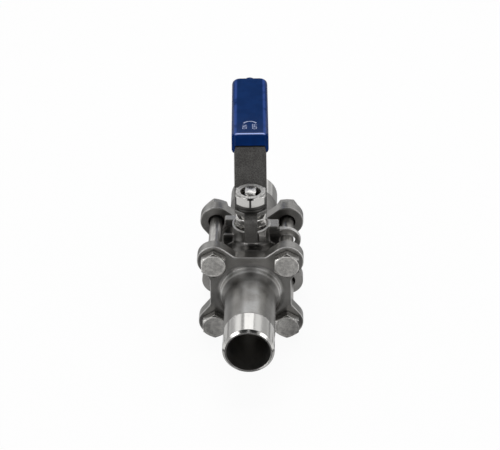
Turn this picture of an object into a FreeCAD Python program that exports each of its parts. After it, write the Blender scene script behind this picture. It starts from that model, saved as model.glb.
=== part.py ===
import FreeCAD, Part
import math
import os

# A three-piece ball valve with plain weld ends and a bent lever, in millimetres.
# The origin is the centre of the ball. X runs across the pipe, Y along it, away from
# the nose of the lever, and Z up along the stem. The valve is shown open.

Vec = FreeCAD.Vector

# Pipe line
PIPE_OUTER_D = 26.9
PIPE_BORE_D = 22.8
END_TO_END = 157.4
WELD_LAND = 0.8
BEVEL_LENGTH = 1.3
BAND_LENGTH = 16.2
BAND_STEP = 0.12

# Ball and seats
BALL_D = 33.0
PORT_D = 20.0
PORT_EDGE = 0.6
SEAT_OUTER_D = 30.0
SEAT_LIP_D = 26.0
SEAT_RECESS = 2.0
SEAT_GAP = 0.3
BALL_GAP = 1.0

# Centre body
BODY_D = 43.0
BODY_LENGTH = 33.0
BODY_EDGE = 0.8
GASKET_OUTER_D = 38.8
GASKET_T = 1.2

# Flanges of the two end caps
FLANGE_T = 7.3
BOLT_SPACING = 39.0
BOLT_HOLE_D = 9.0
LUG_R = 8.95
WAIST_ACROSS = 43.6
WAIST_FLAT = 16.0
WAIST_R = 3.0
FLANGE_EDGE = 0.7
HUB_D = 32.0
HUB_LENGTH = 3.6
HUB_EDGE = 1.9
HUB_ROOT = 2.4
NECK_LENGTH = 3.4
NECK_R = 6.0
BORE_TAPER = 9.0

# Bolts and nuts of the flanges
BOLT_D = 8.0
BOLT_SHANK_D = 7.1
BOLT_LENGTH = 55.0
BOLT_CHAMFER = 0.8
THREAD_LENGTH = 14.0
BOLT_FLATS = 13.0
BOLT_HEAD_T = 5.3
NUT_T = 6.5
NUT_TURNS = (17.0, -1.0, 9.0, -6.0)
HEX_CHAMFER = 30.0
HEX_CROWN = 0.94

# Stem, its seals and what they sit in
STEM_D = 10.0
STEM_FLATS = 5.8
STEM_PROUD = 0.7
STEM_CHAMFER = 0.6
TANG_LENGTH = 9.4
TANG_T = 4.7
SLOT_DEPTH = 4.2
SLOT_GAP = 0.15
COLLAR_D = 14.0
COLLAR_T = 1.8
COLLAR_LIFT = 0.3
THRUST_T = 1.1
THROAT_T = 2.0
O_RING_D = 1.2
PACKING_D = 15.0
PACKING_T = 1.0
PACKING_COUNT = 3
FOLLOWER_LIFT = 0.3
FOLLOWER_FLANGE_T = 1.2
SPRING_OUTER_D = 16.4
SPRING_T = 1.0
SPRING_CONE = 0.7
RUN_GAP = 0.1
FIT_GAP = 0.05

# Boss of the centre body and the lugs round it
BOSS_D = 20.0
BOSS_BORE_D = 18.0
BOSS_DEPTH = 4.3
BOSS_EDGE = 0.3
BOSS_ROOT = 1.6
EAR_R = 7.5
EAR_HOLE_D = 8.8
EAR_FRONT = -2.8
EAR_T = 2.4
EAR_EDGE = 0.6
EAR_BLOCK_W = 5.0
EAR_BLOCK_LENGTH = 7.7
LUG_DROP = 0.7
STOP_GAP = 0.3
OPEN_STOP_W = 4.0
OPEN_STOP_H = 3.6
OPEN_STOP_REACH = 12.0
CLOSED_STOP_W = 4.6
CLOSED_STOP_H = 4.4
CLOSED_STOP_SLANT = 1.4
CLOSED_STOP_REACH = 14.4
FENCE_REACH = 14.9
FENCE_FRONT = -3.8
FENCE_T = 1.9
FENCE_GAP = 0.4
LUG_ROUND = 0.9
LUG_EDGE = 0.4
LUG_ROOT = 0.8

# Gland nut, lever, its washers and the stem nut
GLAND_NUT_FLATS = 16.0
GLAND_NUT_T = 5.0
LEVER_LIFT = 2.4
LEVER_T = 2.5
LEVER_W = 17.6
LEVER_REACH = 95.4
LEVER_LEAN = 1.4
SHOULDER_Y = -3.7
SHOULDER_END_Y = -7.9
SHOULDER_R = 1.0
NOSE_W = 7.1
NOSE_GAP = 0.5
NOSE_LENGTH = 15.5
NOSE_BEND = 1.2
RISE_START = 9.5
RISE_ANGLE = 52.2
RISE = 27.0
RISE_BEND = 2.5
LEVER_END_R = 4.0
WASHER_D = 16.0
WASHER_T = 1.5
SPRING_WASHER_D = 15.6
SPRING_WASHER_T = 1.8
SPRING_WASHER_SLIT = 1.6
SPRING_WASHER_SLANT = 30.0
SPRING_WASHER_TURN = 48.0
STEM_NUT_FLATS = 16.0
STEM_NUT_T = 6.0
STEM_NUT_COUNTERSINK = 0.6

# Vinyl sleeve on the grip
SLEEVE_WALL = 1.2
SLEEVE_SIDE = 1.3
SLEEVE_EDGE = 2.2
SLEEVE_END_R = 4.2
SLEEVE_START = 25.1
SLEEVE_NOTCH = 25.3
SLEEVE_NOTCH_W = 17.8
SLEEVE_NOTCH_R = 2.2
SLEEVE_CAP = 1.4
NUB_W = 4.6
NUB_T = 0.8

# How near two lengths count as one, and how loose a box round a curved edge can be
SAME = 1e-6
NEAR = 1e-3
LOOSE = 0.1

# Radii and places worked out from the sizes above
ball_r = BALL_D / 2
cavity_r = ball_r + BALL_GAP
body_end = BODY_LENGTH / 2
flange_out = body_end + FLANGE_T
bolt_at = BOLT_SPACING / 2
stem_r = STEM_D / 2
collar_bottom = ball_r + COLLAR_LIFT
collar_top = collar_bottom + COLLAR_T
thrust_bottom = collar_top + RUN_GAP
throat_bottom = thrust_bottom + THRUST_T
packing_bottom = throat_bottom + THROAT_T
packing_top = packing_bottom + PACKING_COUNT * PACKING_T
boss_floor = packing_top + RUN_GAP
boss_top = boss_floor + BOSS_DEPTH
follower_top = boss_floor + FOLLOWER_LIFT + FOLLOWER_FLANGE_T
spring_height = SPRING_T + SPRING_CONE
springs_bottom = follower_top + RUN_GAP
gland_nut_bottom = springs_bottom + 2 * spring_height
gland_nut_top = gland_nut_bottom + GLAND_NUT_T
lever_bottom = gland_nut_top + LEVER_LIFT
lever_top = lever_bottom + LEVER_T
stem_nut_bottom = lever_top + WASHER_T + SPRING_WASHER_T
stem_top = stem_nut_bottom + STEM_NUT_T + STEM_PROUD
above_all = 2 * stem_top
lug_top = boss_top - LUG_DROP
nose_bottom = lever_top - NOSE_LENGTH
nose_inner = BOSS_D / 2 + NOSE_GAP
lean = math.radians(LEVER_LEAN)
nose_side = NOSE_W / 2 * math.cos(lean) + (nose_inner + LEVER_T) * math.sin(lean) + STOP_GAP


def outline(corners, closed=True):
    """Straight runs through (a, b, radius) corners, each corner rounded by its radius."""
    count = len(corners)
    pieces = []
    ends = []
    for i, (a, b, radius) in enumerate(corners):
        here = Vec(a, b, 0)
        if radius == 0 or (not closed and i in (0, count - 1)):
            ends.append((here, here))
            continue
        before = corners[i - 1]
        after = corners[(i + 1) % count]
        to_before = (Vec(before[0], before[1], 0) - here).normalize()
        to_after = (Vec(after[0], after[1], 0) - here).normalize()
        half = to_before.getAngle(to_after) / 2
        reach = radius / math.tan(half)
        start = here + to_before * reach
        end = here + to_after * reach
        middle_way = (to_before + to_after).normalize()
        middle = here + middle_way * (radius / math.sin(half) - radius)
        ends.append((start, end))
        pieces.append((i, Part.Arc(start, middle, end).toShape()))
    arcs = dict(pieces)
    edges = []
    for i in range(count):
        if i in arcs:
            edges.append(arcs[i])
        if i == count - 1 and not closed:
            break
        leaves = ends[i][1]
        arrives = ends[(i + 1) % count][0]
        if leaves.distanceToPoint(arrives) > SAME:
            edges.append(Part.LineSegment(leaves, arrives).toShape())
    return Part.Wire(edges)


def plate(corners, low, high, edge=0):
    """A flat plate between two heights, from an outline in X and Y, its rims rounded by edge."""
    face = Part.Face(outline(corners))
    face.translate(Vec(0, 0, low))
    solid = face.extrude(Vec(0, 0, high - low))
    if edge == 0:
        return solid
    return solid.makeFillet(edge, [e for e in solid.Edges if e.BoundBox.ZLength < SAME])


def standing_plate(corners, front, back, edge=0):
    """A plate that stands across the pipe, from an outline in X and Z."""
    solid = plate(corners, -back, -front, edge)
    solid.rotate(Vec(), Vec(1, 0, 0), 90)
    return solid


def side_plate(corners, half_width):
    """A plate across the pipe's length, from an outline in Y and Z."""
    face = Part.Face(outline(corners))
    face.rotate(Vec(), Vec(1, 0, 0), 90)
    face.rotate(Vec(), Vec(0, 0, 1), 90)
    face.translate(Vec(-half_width, 0, 0))
    return face.extrude(Vec(2 * half_width, 0, 0))


def turned_on_stem(corners):
    """A turned piece about Z, from an outline in radius and height."""
    face = Part.Face(outline(corners))
    face.rotate(Vec(), Vec(1, 0, 0), 90)
    return face.revolve(Vec(), Vec(0, 0, 1), 360)


def turned_on_pipe(corners):
    """A turned piece about Y, from an outline in radius and distance along the pipe."""
    face = Part.Face(outline(corners))
    return face.revolve(Vec(), Vec(0, 1, 0), 360)


def ring(outer_d, inner_d, low, high):
    """A plain ring about the stem."""
    outer = Part.makeCylinder(outer_d / 2, high - low, Vec(0, 0, low))
    return outer.cut(Part.makeCylinder(inner_d / 2, high - low, Vec(0, 0, low)))


def hexagon(flats, height, low_chamfer, high_chamfer):
    """A hexagonal prism on Z from 0 up, a corner on +X, its corners turned off to a cone."""
    corner_r = flats / math.sqrt(3)
    steps = [math.radians(60 * k) for k in range(6)]
    points = [(corner_r * math.cos(t), corner_r * math.sin(t), 0) for t in steps]
    prism = plate(points, 0, height)
    crown_r = HEX_CROWN * flats / 2
    drop = (corner_r - crown_r) * math.tan(math.radians(HEX_CHAMFER))
    low = drop if low_chamfer else 0
    high = height - drop if high_chamfer else height
    profile = [(0, 0, 0)]
    profile.append((crown_r if low_chamfer else corner_r, 0, 0))
    if low_chamfer:
        profile.append((corner_r, low, 0))
    profile.append((corner_r, high, 0))
    if high_chamfer:
        profile.append((crown_r, height, 0))
    profile.append((0, height, 0))
    return prism.common(turned_on_stem(profile))


def facing_back(shape):
    """The same piece on the far side of the stem."""
    return shape.mirror(Vec(), Vec(0, 1, 0))


def place_on_bolts(shape, y, turns=(0, 0, 0, 0)):
    """Four copies, one on each bolt's line, each turned about it."""
    copies = []
    for turn, (sx, sz) in zip(turns, ((-1, 1), (1, 1), (1, -1), (-1, -1))):
        copy = shape.copy()
        copy.rotate(Vec(), Vec(0, 1, 0), turn)
        copy.translate(Vec(sx * bolt_at, y, sz * bolt_at))
        copies.append(copy)
    return copies


def flange_outline():
    """Four round lugs joined by straight flanks to a short flat on each side."""
    waist = WAIST_ACROSS / 2
    flat = WAIST_FLAT / 2
    to_lug = Vec(bolt_at - flat, bolt_at - waist, 0)
    slope = math.atan2(to_lug.y, to_lug.x) + math.asin(LUG_R / to_lug.Length)
    run = (waist - flat) / (math.cos(slope) - math.sin(slope))
    tip = flat + run * math.cos(slope)
    corners = []
    for quarter in range(4):
        turn = math.radians(-90 * quarter)
        for x, z, radius in ((flat, waist, WAIST_R), (tip, tip, LUG_R), (waist, flat, WAIST_R)):
            across = x * math.cos(turn) - z * math.sin(turn)
            upright = x * math.sin(turn) + z * math.cos(turn)
            corners.append((across, upright, radius))
    return corners


def end_cap():
    """The rear cap: a lugged flange, a hub, a neck and the pipe with its weld bevel."""
    flange = standing_plate(flange_outline(), body_end, flange_out, FLANGE_EDGE)
    end = END_TO_END / 2
    pipe_r = PIPE_OUTER_D / 2
    cast_r = pipe_r + BAND_STEP
    hub_r = HUB_D / 2
    root_r = hub_r + 2 * HUB_ROOT
    hub_end = flange_out + HUB_LENGTH
    recess_r = SEAT_OUTER_D / 2 + FIT_GAP
    floor = body_end + SEAT_RECESS
    bore_r = PIPE_BORE_D / 2
    turned = turned_on_pipe([
        (recess_r, body_end, 0),
        (root_r, body_end, 0),
        (root_r, flange_out, 0),
        (hub_r, flange_out, HUB_ROOT),
        (hub_r, hub_end, HUB_EDGE),
        (cast_r, hub_end + NECK_LENGTH, NECK_R),
        (cast_r, end - BAND_LENGTH, 0),
        (pipe_r, end - BAND_LENGTH, 0),
        (pipe_r, end - BEVEL_LENGTH, 0),
        (bore_r + WELD_LAND, end, 0),
        (bore_r, end, 0),
        (bore_r, floor + BORE_TAPER, 0),
        (PORT_D / 2, floor, 0),
        (recess_r, floor, 0),
    ])
    blank = flange.cut(Part.makeCylinder(recess_r, FLANGE_T, Vec(0, body_end, 0), Vec(0, 1, 0)))
    cap = blank.fuse(turned)
    hole = Part.makeCylinder(BOLT_HOLE_D / 2, FLANGE_T, Vec(), Vec(0, 1, 0))
    return cap.cut(place_on_bolts(hole, body_end)).removeSplitter()


def seat():
    """The rear seat: a ring whose inner lip follows the ball."""
    cup_r = ball_r + SEAT_GAP
    inner = PORT_D / 2
    lip = SEAT_LIP_D / 2
    back = body_end + SEAT_RECESS
    lip_y = math.sqrt(cup_r ** 2 - lip ** 2)
    inner_y = math.sqrt(cup_r ** 2 - inner ** 2)
    middle_r = (lip + inner) / 2
    middle = Vec(middle_r, math.sqrt(cup_r ** 2 - middle_r ** 2), 0)
    cup = Part.Arc(Vec(inner, inner_y, 0), middle, Vec(lip, lip_y, 0)).toShape()
    rest = outline([
        (lip, lip_y, 0),
        (SEAT_OUTER_D / 2, lip_y, 0),
        (SEAT_OUTER_D / 2, back, 0),
        (inner, back, 0),
        (inner, inner_y, 0),
    ], closed=False)
    face = Part.Face(Part.Wire([cup] + rest.Edges))
    return face.revolve(Vec(), Vec(0, 1, 0), 360)


def body_gasket():
    """The rear body gasket, in the step at the end of the body's cavity."""
    front = Vec(0, body_end - GASKET_T, 0)
    outer = Part.makeCylinder(GASKET_OUTER_D / 2, GASKET_T, front, Vec(0, 1, 0))
    return outer.cut(Part.makeCylinder(cavity_r, BODY_LENGTH, Vec(), Vec(0, 1, 0)))


def ball():
    """The ball, open along Y, with the stem's slot across its top."""
    sphere = Part.makeSphere(ball_r)
    port = Part.makeCylinder(PORT_D / 2, BALL_D, Vec(0, -ball_r, 0), Vec(0, 1, 0))
    drilled = sphere.cut(port)
    mouths = [e for e in drilled.Edges if e.BoundBox.YLength < SAME and e.Length > PORT_D]
    drilled = drilled.makeFillet(PORT_EDGE, mouths)
    slot_w = TANG_T + 2 * SLOT_GAP
    slot = Part.makeBox(BALL_D, slot_w, SLOT_DEPTH, Vec(-ball_r, -slot_w / 2, ball_r - SLOT_DEPTH))
    return drilled.cut(slot)


def ear():
    """The right-hand ear, which leans out to the upper right bolt, and the block beside it."""
    tip = bolt_at * math.sqrt(2) + EAR_R
    arm = standing_plate([
        (0, -EAR_R, 0),
        (tip, -EAR_R, EAR_R),
        (tip, EAR_R, EAR_R),
        (0, EAR_R, 0),
    ], EAR_FRONT, EAR_FRONT + EAR_T, EAR_EDGE)
    bolt_direction = 45
    arm.rotate(Vec(), Vec(0, 1, 0), -bolt_direction)
    shelf = Part.makeBox(bolt_at, EAR_T, bolt_at + EAR_R - ball_r, Vec(0, EAR_FRONT, ball_r))
    block_right = BOSS_D / 2 + EAR_BLOCK_W
    block_back = EAR_FRONT + EAR_BLOCK_LENGTH
    block = plate([
        (0, EAR_FRONT, 0),
        (block_right, EAR_FRONT, LUG_ROUND),
        (block_right, block_back, LUG_ROUND),
        (0, block_back, 0),
    ], ball_r, lug_top, LUG_EDGE)
    return [arm, shelf, block]


def stop_lugs():
    """The two lugs that stop the lever's nose, and the low fence between them."""
    foot = lug_top - CLOSED_STOP_H
    closed = standing_plate([
        (0, lug_top, 0),
        (-CLOSED_STOP_REACH, lug_top, LUG_ROUND),
        (-CLOSED_STOP_REACH, foot + CLOSED_STOP_SLANT / 2, LUG_ROUND),
        (-BOSS_D / 2, foot - CLOSED_STOP_SLANT / 2, 0),
        (0, foot - CLOSED_STOP_SLANT / 2, 0),
    ], nose_side, nose_side + CLOSED_STOP_W, LUG_EDGE)
    opened = plate([
        (nose_side, 0, 0),
        (nose_side, -OPEN_STOP_REACH, LUG_ROUND),
        (nose_side + OPEN_STOP_W, -OPEN_STOP_REACH, LUG_ROUND),
        (nose_side + OPEN_STOP_W, 0, 0),
    ], nose_bottom, nose_bottom + OPEN_STOP_H, LUG_EDGE)
    fence_top = nose_bottom - FENCE_GAP
    fence = standing_plate([
        (0, fence_top, 0),
        (-FENCE_REACH, fence_top, LUG_ROUND),
        (-FENCE_REACH, 0, 0),
        (0, 0, 0),
    ], FENCE_FRONT, FENCE_FRONT + FENCE_T, LUG_EDGE)
    return [closed, opened, fence]


def on_boss_root(edge, boss_r):
    """Whether an edge is where the boss's wall meets the outside of the drum."""
    points = edge.discretize(Number=5)
    on_boss = all(abs(math.hypot(p.x, p.y) - boss_r) < NEAR for p in points)
    return on_boss and all(abs(math.hypot(p.x, p.z) - BODY_D / 2) < NEAR for p in points)


def on_lug_root(edge):
    """Whether an edge is where the front of the ear or of the fence leaves the boss's wall."""
    box = edge.BoundBox
    on_front = box.YLength < NEAR and min(abs(box.YMin - EAR_FRONT), abs(box.YMin - FENCE_FRONT)) < NEAR
    return on_front and all(abs(math.hypot(v.X, v.Y) - BOSS_D / 2) < NEAR for v in edge.Vertexes)


def center_body():
    """The centre body: a short drum, the stem's boss and the lugs round it."""
    drum = Part.makeCylinder(BODY_D / 2, BODY_LENGTH, Vec(0, -body_end, 0), Vec(0, 1, 0))
    rims = [e for e in drum.Edges if e.BoundBox.YLength < SAME]
    drum = drum.makeFillet(BODY_EDGE, rims)
    boss_r = BOSS_D / 2
    solid = drum.fuse(Part.makeCylinder(boss_r, boss_top))
    roots = [e for e in solid.Edges if on_boss_root(e, boss_r)]
    solid = solid.makeFillet(BOSS_ROOT, roots)
    solid = solid.fuse(ear() + stop_lugs()).removeSplitter()
    solid = solid.makeFillet(LUG_ROOT, [e for e in solid.Edges if on_lug_root(e)])
    cavity = Part.makeCylinder(cavity_r, BODY_LENGTH, Vec(0, -body_end, 0), Vec(0, 1, 0))
    gasket_r = GASKET_OUTER_D / 2 + FIT_GAP
    step = Part.makeCylinder(gasket_r, GASKET_T, Vec(0, body_end - GASKET_T, 0), Vec(0, 1, 0))
    stem_way = turned_on_stem([
        (0, 0, 0),
        (COLLAR_D / 2 + RUN_GAP, 0, 0),
        (COLLAR_D / 2 + RUN_GAP, throat_bottom, 0),
        (stem_r + FIT_GAP, throat_bottom, 0),
        (stem_r + FIT_GAP, packing_bottom, 0),
        (PACKING_D / 2 + FIT_GAP, packing_bottom, 0),
        (PACKING_D / 2 + FIT_GAP, boss_floor, 0),
        (BOSS_BORE_D / 2, boss_floor, 0),
        (BOSS_BORE_D / 2, boss_top - BOSS_EDGE, 0),
        (BOSS_BORE_D / 2 + BOSS_EDGE, boss_top, 0),
        (0, boss_top, 0),
    ])
    ear_front = Vec(bolt_at, EAR_FRONT, bolt_at)
    ear_hole = Part.makeCylinder(EAR_HOLE_D / 2, EAR_T, ear_front, Vec(0, 1, 0))
    return solid.cut([cavity, step, facing_back(step), stem_way, ear_hole]).removeSplitter()


def flange_bolts():
    """Four long bolts with reduced shanks, their heads on the front flange."""
    head = hexagon(BOLT_FLATS, BOLT_HEAD_T, False, True)
    head.rotate(Vec(), Vec(0, 0, 1), 90)
    head.rotate(Vec(), Vec(1, 0, 0), 90)
    shank_r = BOLT_SHANK_D / 2
    thread_r = BOLT_D / 2
    shank = turned_on_pipe([
        (0, -BOLT_HEAD_T / 2, 0),
        (shank_r, -BOLT_HEAD_T / 2, 0),
        (shank_r, BOLT_LENGTH - THREAD_LENGTH, 0),
        (thread_r, BOLT_LENGTH - THREAD_LENGTH + thread_r - shank_r, 0),
        (thread_r, BOLT_LENGTH - BOLT_CHAMFER, 0),
        (thread_r - BOLT_CHAMFER, BOLT_LENGTH, 0),
        (0, BOLT_LENGTH, 0),
    ])
    bolt = head.fuse(shank).removeSplitter()
    return Part.makeCompound(place_on_bolts(bolt, -flange_out))


def flange_nuts():
    """Four nuts on the back of the rear flange."""
    nut = hexagon(BOLT_FLATS, NUT_T, True, True)
    nut = nut.cut(Part.makeCylinder(BOLT_D / 2 + FIT_GAP, NUT_T))
    nut.rotate(Vec(), Vec(1, 0, 0), -90)
    return Part.makeCompound(place_on_bolts(nut, flange_out, NUT_TURNS))


def stem():
    """The stem: a tang for the ball's slot, a collar, an O-ring groove and two flats for the lever."""
    groove = O_RING_D + RUN_GAP
    middle = (throat_bottom + packing_bottom) / 2
    body = turned_on_stem([
        (0, collar_bottom, 0),
        (COLLAR_D / 2, collar_bottom, 0),
        (COLLAR_D / 2, collar_top, 0),
        (stem_r, collar_top, 0),
        (stem_r, middle - groove / 2, 0),
        (stem_r - O_RING_D - FIT_GAP, middle - groove / 2, 0),
        (stem_r - O_RING_D - FIT_GAP, middle + groove / 2, 0),
        (stem_r, middle + groove / 2, 0),
        (stem_r, stem_top - STEM_CHAMFER, 0),
        (stem_r - STEM_CHAMFER, stem_top, 0),
        (0, stem_top, 0),
    ])
    tang_bottom = ball_r - SLOT_DEPTH + SLOT_GAP
    tang = Part.makeCylinder(TANG_LENGTH / 2, collar_top - tang_bottom, Vec(0, 0, tang_bottom))
    tang_corner = Vec(-TANG_LENGTH / 2, -TANG_T / 2, 0)
    tang = tang.common(Part.makeBox(TANG_LENGTH, TANG_T, collar_top, tang_corner))
    whole = body.fuse(tang).removeSplitter()
    slab_corner = Vec(STEM_FLATS / 2, -stem_r, lever_bottom)
    slab = Part.makeBox(stem_r, STEM_D, stem_top - lever_bottom, slab_corner)
    return whole.cut([slab, slab.mirror(Vec(), Vec(1, 0, 0))])


def stem_o_ring():
    """The O-ring in the stem's groove."""
    middle = (throat_bottom + packing_bottom) / 2
    return Part.makeTorus(stem_r - O_RING_D / 2, O_RING_D / 2, Vec(0, 0, middle))


def packing_ring(index):
    """One packing ring, counted from the bottom of the chamber."""
    low = packing_bottom + index * PACKING_T
    return ring(PACKING_D, STEM_D + 2 * FIT_GAP, low, low + PACKING_T)


def gland_follower():
    """The bush that presses on the packing, with a flange in the boss's bore."""
    flange_r = BOSS_BORE_D / 2 - RUN_GAP
    inner = stem_r + FIT_GAP
    flange_bottom = boss_floor + FOLLOWER_LIFT
    return turned_on_stem([
        (inner, packing_top, 0),
        (PACKING_D / 2, packing_top, 0),
        (PACKING_D / 2, flange_bottom, 0),
        (flange_r, flange_bottom, 0),
        (flange_r, follower_top, 0),
        (inner, follower_top, 0),
    ])


def disc_spring(low, cone_up):
    """A coned disc spring about the stem."""
    inner = stem_r + FIT_GAP
    outer = SPRING_OUTER_D / 2
    inner_low = low + SPRING_CONE if cone_up else low
    outer_low = low if cone_up else low + SPRING_CONE
    return turned_on_stem([
        (inner, inner_low, 0),
        (outer, outer_low, 0),
        (outer, outer_low + SPRING_T, 0),
        (inner, inner_low + SPRING_T, 0),
    ])


def gland_nut():
    """The thin nut that loads the springs, a corner to the front."""
    nut = hexagon(GLAND_NUT_FLATS, GLAND_NUT_T, True, True)
    nut.rotate(Vec(), Vec(0, 0, 1), 90)
    nut.translate(Vec(0, 0, gland_nut_bottom))
    return nut.cut(Part.makeCylinder(stem_r + FIT_GAP, stem_top))


def lever_path():
    """Corners of the middle of the lever's sheet in Y and Z, from its nose to its end."""
    half = LEVER_T / 2
    level = lever_bottom + half
    rise_run = RISE / math.tan(math.radians(RISE_ANGLE))
    nose_y = -nose_inner - half
    return [
        (nose_y, nose_bottom, 0),
        (nose_y, level, NOSE_BEND + half),
        (RISE_START, level, RISE_BEND),
        (RISE_START + rise_run, level + RISE, RISE_BEND),
        (LEVER_REACH, level + RISE, 0),
    ]


def thickened(path, half):
    """The outline of a bent sheet, half its thickness each side of its path."""
    sides = []
    for side in (1, -1):
        shifted = []
        for i, (y, z, radius) in enumerate(path):
            here = Vec(y, z, 0)
            ways = []
            if i > 0:
                ways.append((here - Vec(path[i - 1][0], path[i - 1][1], 0)).normalize())
            if i < len(path) - 1:
                ways.append((Vec(path[i + 1][0], path[i + 1][1], 0) - here).normalize())
            normals = [Vec(-w.y, w.x, 0) * side for w in ways]
            if len(normals) == 1:
                point = here + normals[0] * half
                shifted.append((point.x, point.y, 0))
                continue
            between = (normals[0] + normals[1]).normalize()
            point = here + between * (half / between.dot(normals[0]))
            outside = ways[1].dot(normals[0]) < 0
            shifted.append((point.x, point.y, radius + half if outside else radius - half))
        sides.append(shifted)
    return sides[0] + sides[1][::-1]


def leaning(shape):
    """The lever's play on the stem's flats lets its nose lean on the open stop."""
    return shape.rotate(Vec(), Vec(0, 0, 1), LEVER_LEAN)


def lever_blade():
    """The lever, bent from sheet: a nose turned down, a level root, a rise and a level grip."""
    sheet = side_plate(thickened(lever_path(), LEVER_T / 2), LEVER_W)
    half = LEVER_W / 2
    nose = NOSE_W / 2
    past_nose = -2 * nose_inner
    plan = plate([
        (-nose, past_nose, 0),
        (-nose, SHOULDER_END_Y, SHOULDER_R),
        (-half, SHOULDER_Y, SHOULDER_R),
        (-half, LEVER_REACH, LEVER_END_R),
        (half, LEVER_REACH, LEVER_END_R),
        (half, SHOULDER_Y, SHOULDER_R),
        (nose, SHOULDER_END_Y, SHOULDER_R),
        (nose, past_nose, 0),
    ], 0, above_all)
    return leaning(sheet.common(plan))


def lever():
    """The lever with its hole cut to the stem's flats."""
    blade = lever_blade()
    hole = Part.makeCylinder(stem_r + FIT_GAP, LEVER_T, Vec(0, 0, lever_bottom))
    flats = STEM_FLATS + 2 * FIT_GAP
    across = Part.makeBox(flats, 2 * STEM_D, LEVER_T, Vec(-flats / 2, -STEM_D, lever_bottom))
    return blade.cut(hole.common(across))


def is_sleeve_rim(edge, half):
    """Whether an edge runs along the top or bottom face of the sleeve."""
    box = edge.BoundBox
    on_side = box.XLength < NEAR and abs(abs(box.XMin) - half) < NEAR
    round_end = box.YMin > LEVER_REACH - SLEEVE_END_R and box.ZLength < LOOSE
    return round_end or (on_side and box.YLength > LOOSE)


def lever_sleeve():
    """The vinyl sleeve on the grip: a soft flat tube, closed at its end, with a small nub."""
    path = lever_path()
    thick = LEVER_T / 2 + SLEEVE_WALL
    start_z = path[2][1] + (SLEEVE_START - RISE_START) * math.tan(math.radians(RISE_ANGLE))
    run = [(SLEEVE_START, start_z, 0), path[3], (LEVER_REACH + SLEEVE_CAP, path[4][1], 0)]
    half = LEVER_W / 2 + SLEEVE_SIDE
    end = LEVER_REACH + SLEEVE_CAP
    skin = side_plate(thickened(run, thick), half)
    at_end = [e for e in skin.Edges if e.BoundBox.YMin > end - LOOSE]
    corners = [e for e in at_end if e.BoundBox.XLength < LOOSE]
    skin = skin.makeFillet(SLEEVE_END_R, corners)
    rims = [e for e in skin.Edges if is_sleeve_rim(e, half)]
    skin = skin.makeFillet(SLEEVE_EDGE, rims)
    nub_corner = Vec(-NUB_W / 2, end - NUB_T, path[4][1] - LEVER_T / 2)
    nub = Part.makeBox(NUB_W, 2 * NUB_T, LEVER_T, nub_corner)
    notch = plate([
        (-SLEEVE_NOTCH_W / 2, 0, 0),
        (-SLEEVE_NOTCH_W / 2, SLEEVE_NOTCH, SLEEVE_NOTCH_R),
        (SLEEVE_NOTCH_W / 2, SLEEVE_NOTCH, SLEEVE_NOTCH_R),
        (SLEEVE_NOTCH_W / 2, 0, 0),
    ], 0, above_all)
    return leaning(skin.fuse(nub).cut(notch)).cut(lever()).removeSplitter()


def lever_washer():
    """The flat washer on the lever."""
    return ring(WASHER_D, STEM_D + 2 * FIT_GAP, lever_top, lever_top + WASHER_T)


def lever_spring_washer():
    """The split spring washer under the stem nut."""
    low = lever_top + WASHER_T
    washer = ring(SPRING_WASHER_D, STEM_D + 2 * FIT_GAP, low, low + SPRING_WASHER_T)
    slit = Part.makeBox(SPRING_WASHER_D, SPRING_WASHER_SLIT, 2 * SPRING_WASHER_T)
    slit.translate(Vec(0, -SPRING_WASHER_SLIT / 2, -SPRING_WASHER_T))
    slit.rotate(Vec(), Vec(1, 0, 0), SPRING_WASHER_SLANT)
    slit.translate(Vec(0, 0, low + SPRING_WASHER_T / 2))
    slit.rotate(Vec(), Vec(0, 0, 1), SPRING_WASHER_TURN)
    return washer.cut(slit)


def stem_nut():
    """The nut that holds the lever, a corner to the front."""
    nut = hexagon(STEM_NUT_FLATS, STEM_NUT_T, True, True)
    nut.rotate(Vec(), Vec(0, 0, 1), 90)
    bore_r = stem_r + FIT_GAP
    hole = turned_on_stem([
        (0, 0, 0),
        (bore_r, 0, 0),
        (bore_r, STEM_NUT_T - STEM_NUT_COUNTERSINK, 0),
        (bore_r + STEM_NUT_COUNTERSINK, STEM_NUT_T, 0),
        (0, STEM_NUT_T, 0),
    ])
    nut = nut.cut(hole)
    nut.translate(Vec(0, 0, stem_nut_bottom))
    return nut


def build():
    """Every piece of the valve by name."""
    pieces = {
        "center_body": center_body(),
        "rear_end_cap": end_cap(),
        "front_end_cap": facing_back(end_cap()),
        "rear_seat": seat(),
        "front_seat": facing_back(seat()),
        "rear_body_gasket": body_gasket(),
        "front_body_gasket": facing_back(body_gasket()),
        "flange_bolts": flange_bolts(),
        "flange_nuts": flange_nuts(),
        "thrust_washer": ring(COLLAR_D, STEM_D + 2 * FIT_GAP, thrust_bottom, throat_bottom),
        "gland_follower": gland_follower(),
        "ball": ball(),
        "stem": stem(),
        "stem_o_ring": stem_o_ring(),
        "lower_disc_spring": disc_spring(springs_bottom, False),
        "upper_disc_spring": disc_spring(springs_bottom + spring_height, True),
        "gland_nut": gland_nut(),
        "lever": lever(),
        "lever_sleeve": lever_sleeve(),
        "lever_washer": lever_washer(),
        "lever_spring_washer": lever_spring_washer(),
        "stem_nut": stem_nut(),
    }
    for index, place in enumerate(("bottom", "middle", "top")):
        pieces["packing_ring_" + place] = packing_ring(index)
    return pieces


os.makedirs("parts", exist_ok=True)
for name, shape in build().items():
    shape.exportStep("parts/" + name + ".step")
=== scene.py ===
"""Looks of a three-piece ball valve: castings, turned pipe ends, bright nuts, bent lever and vinyl sleeve."""

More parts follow.
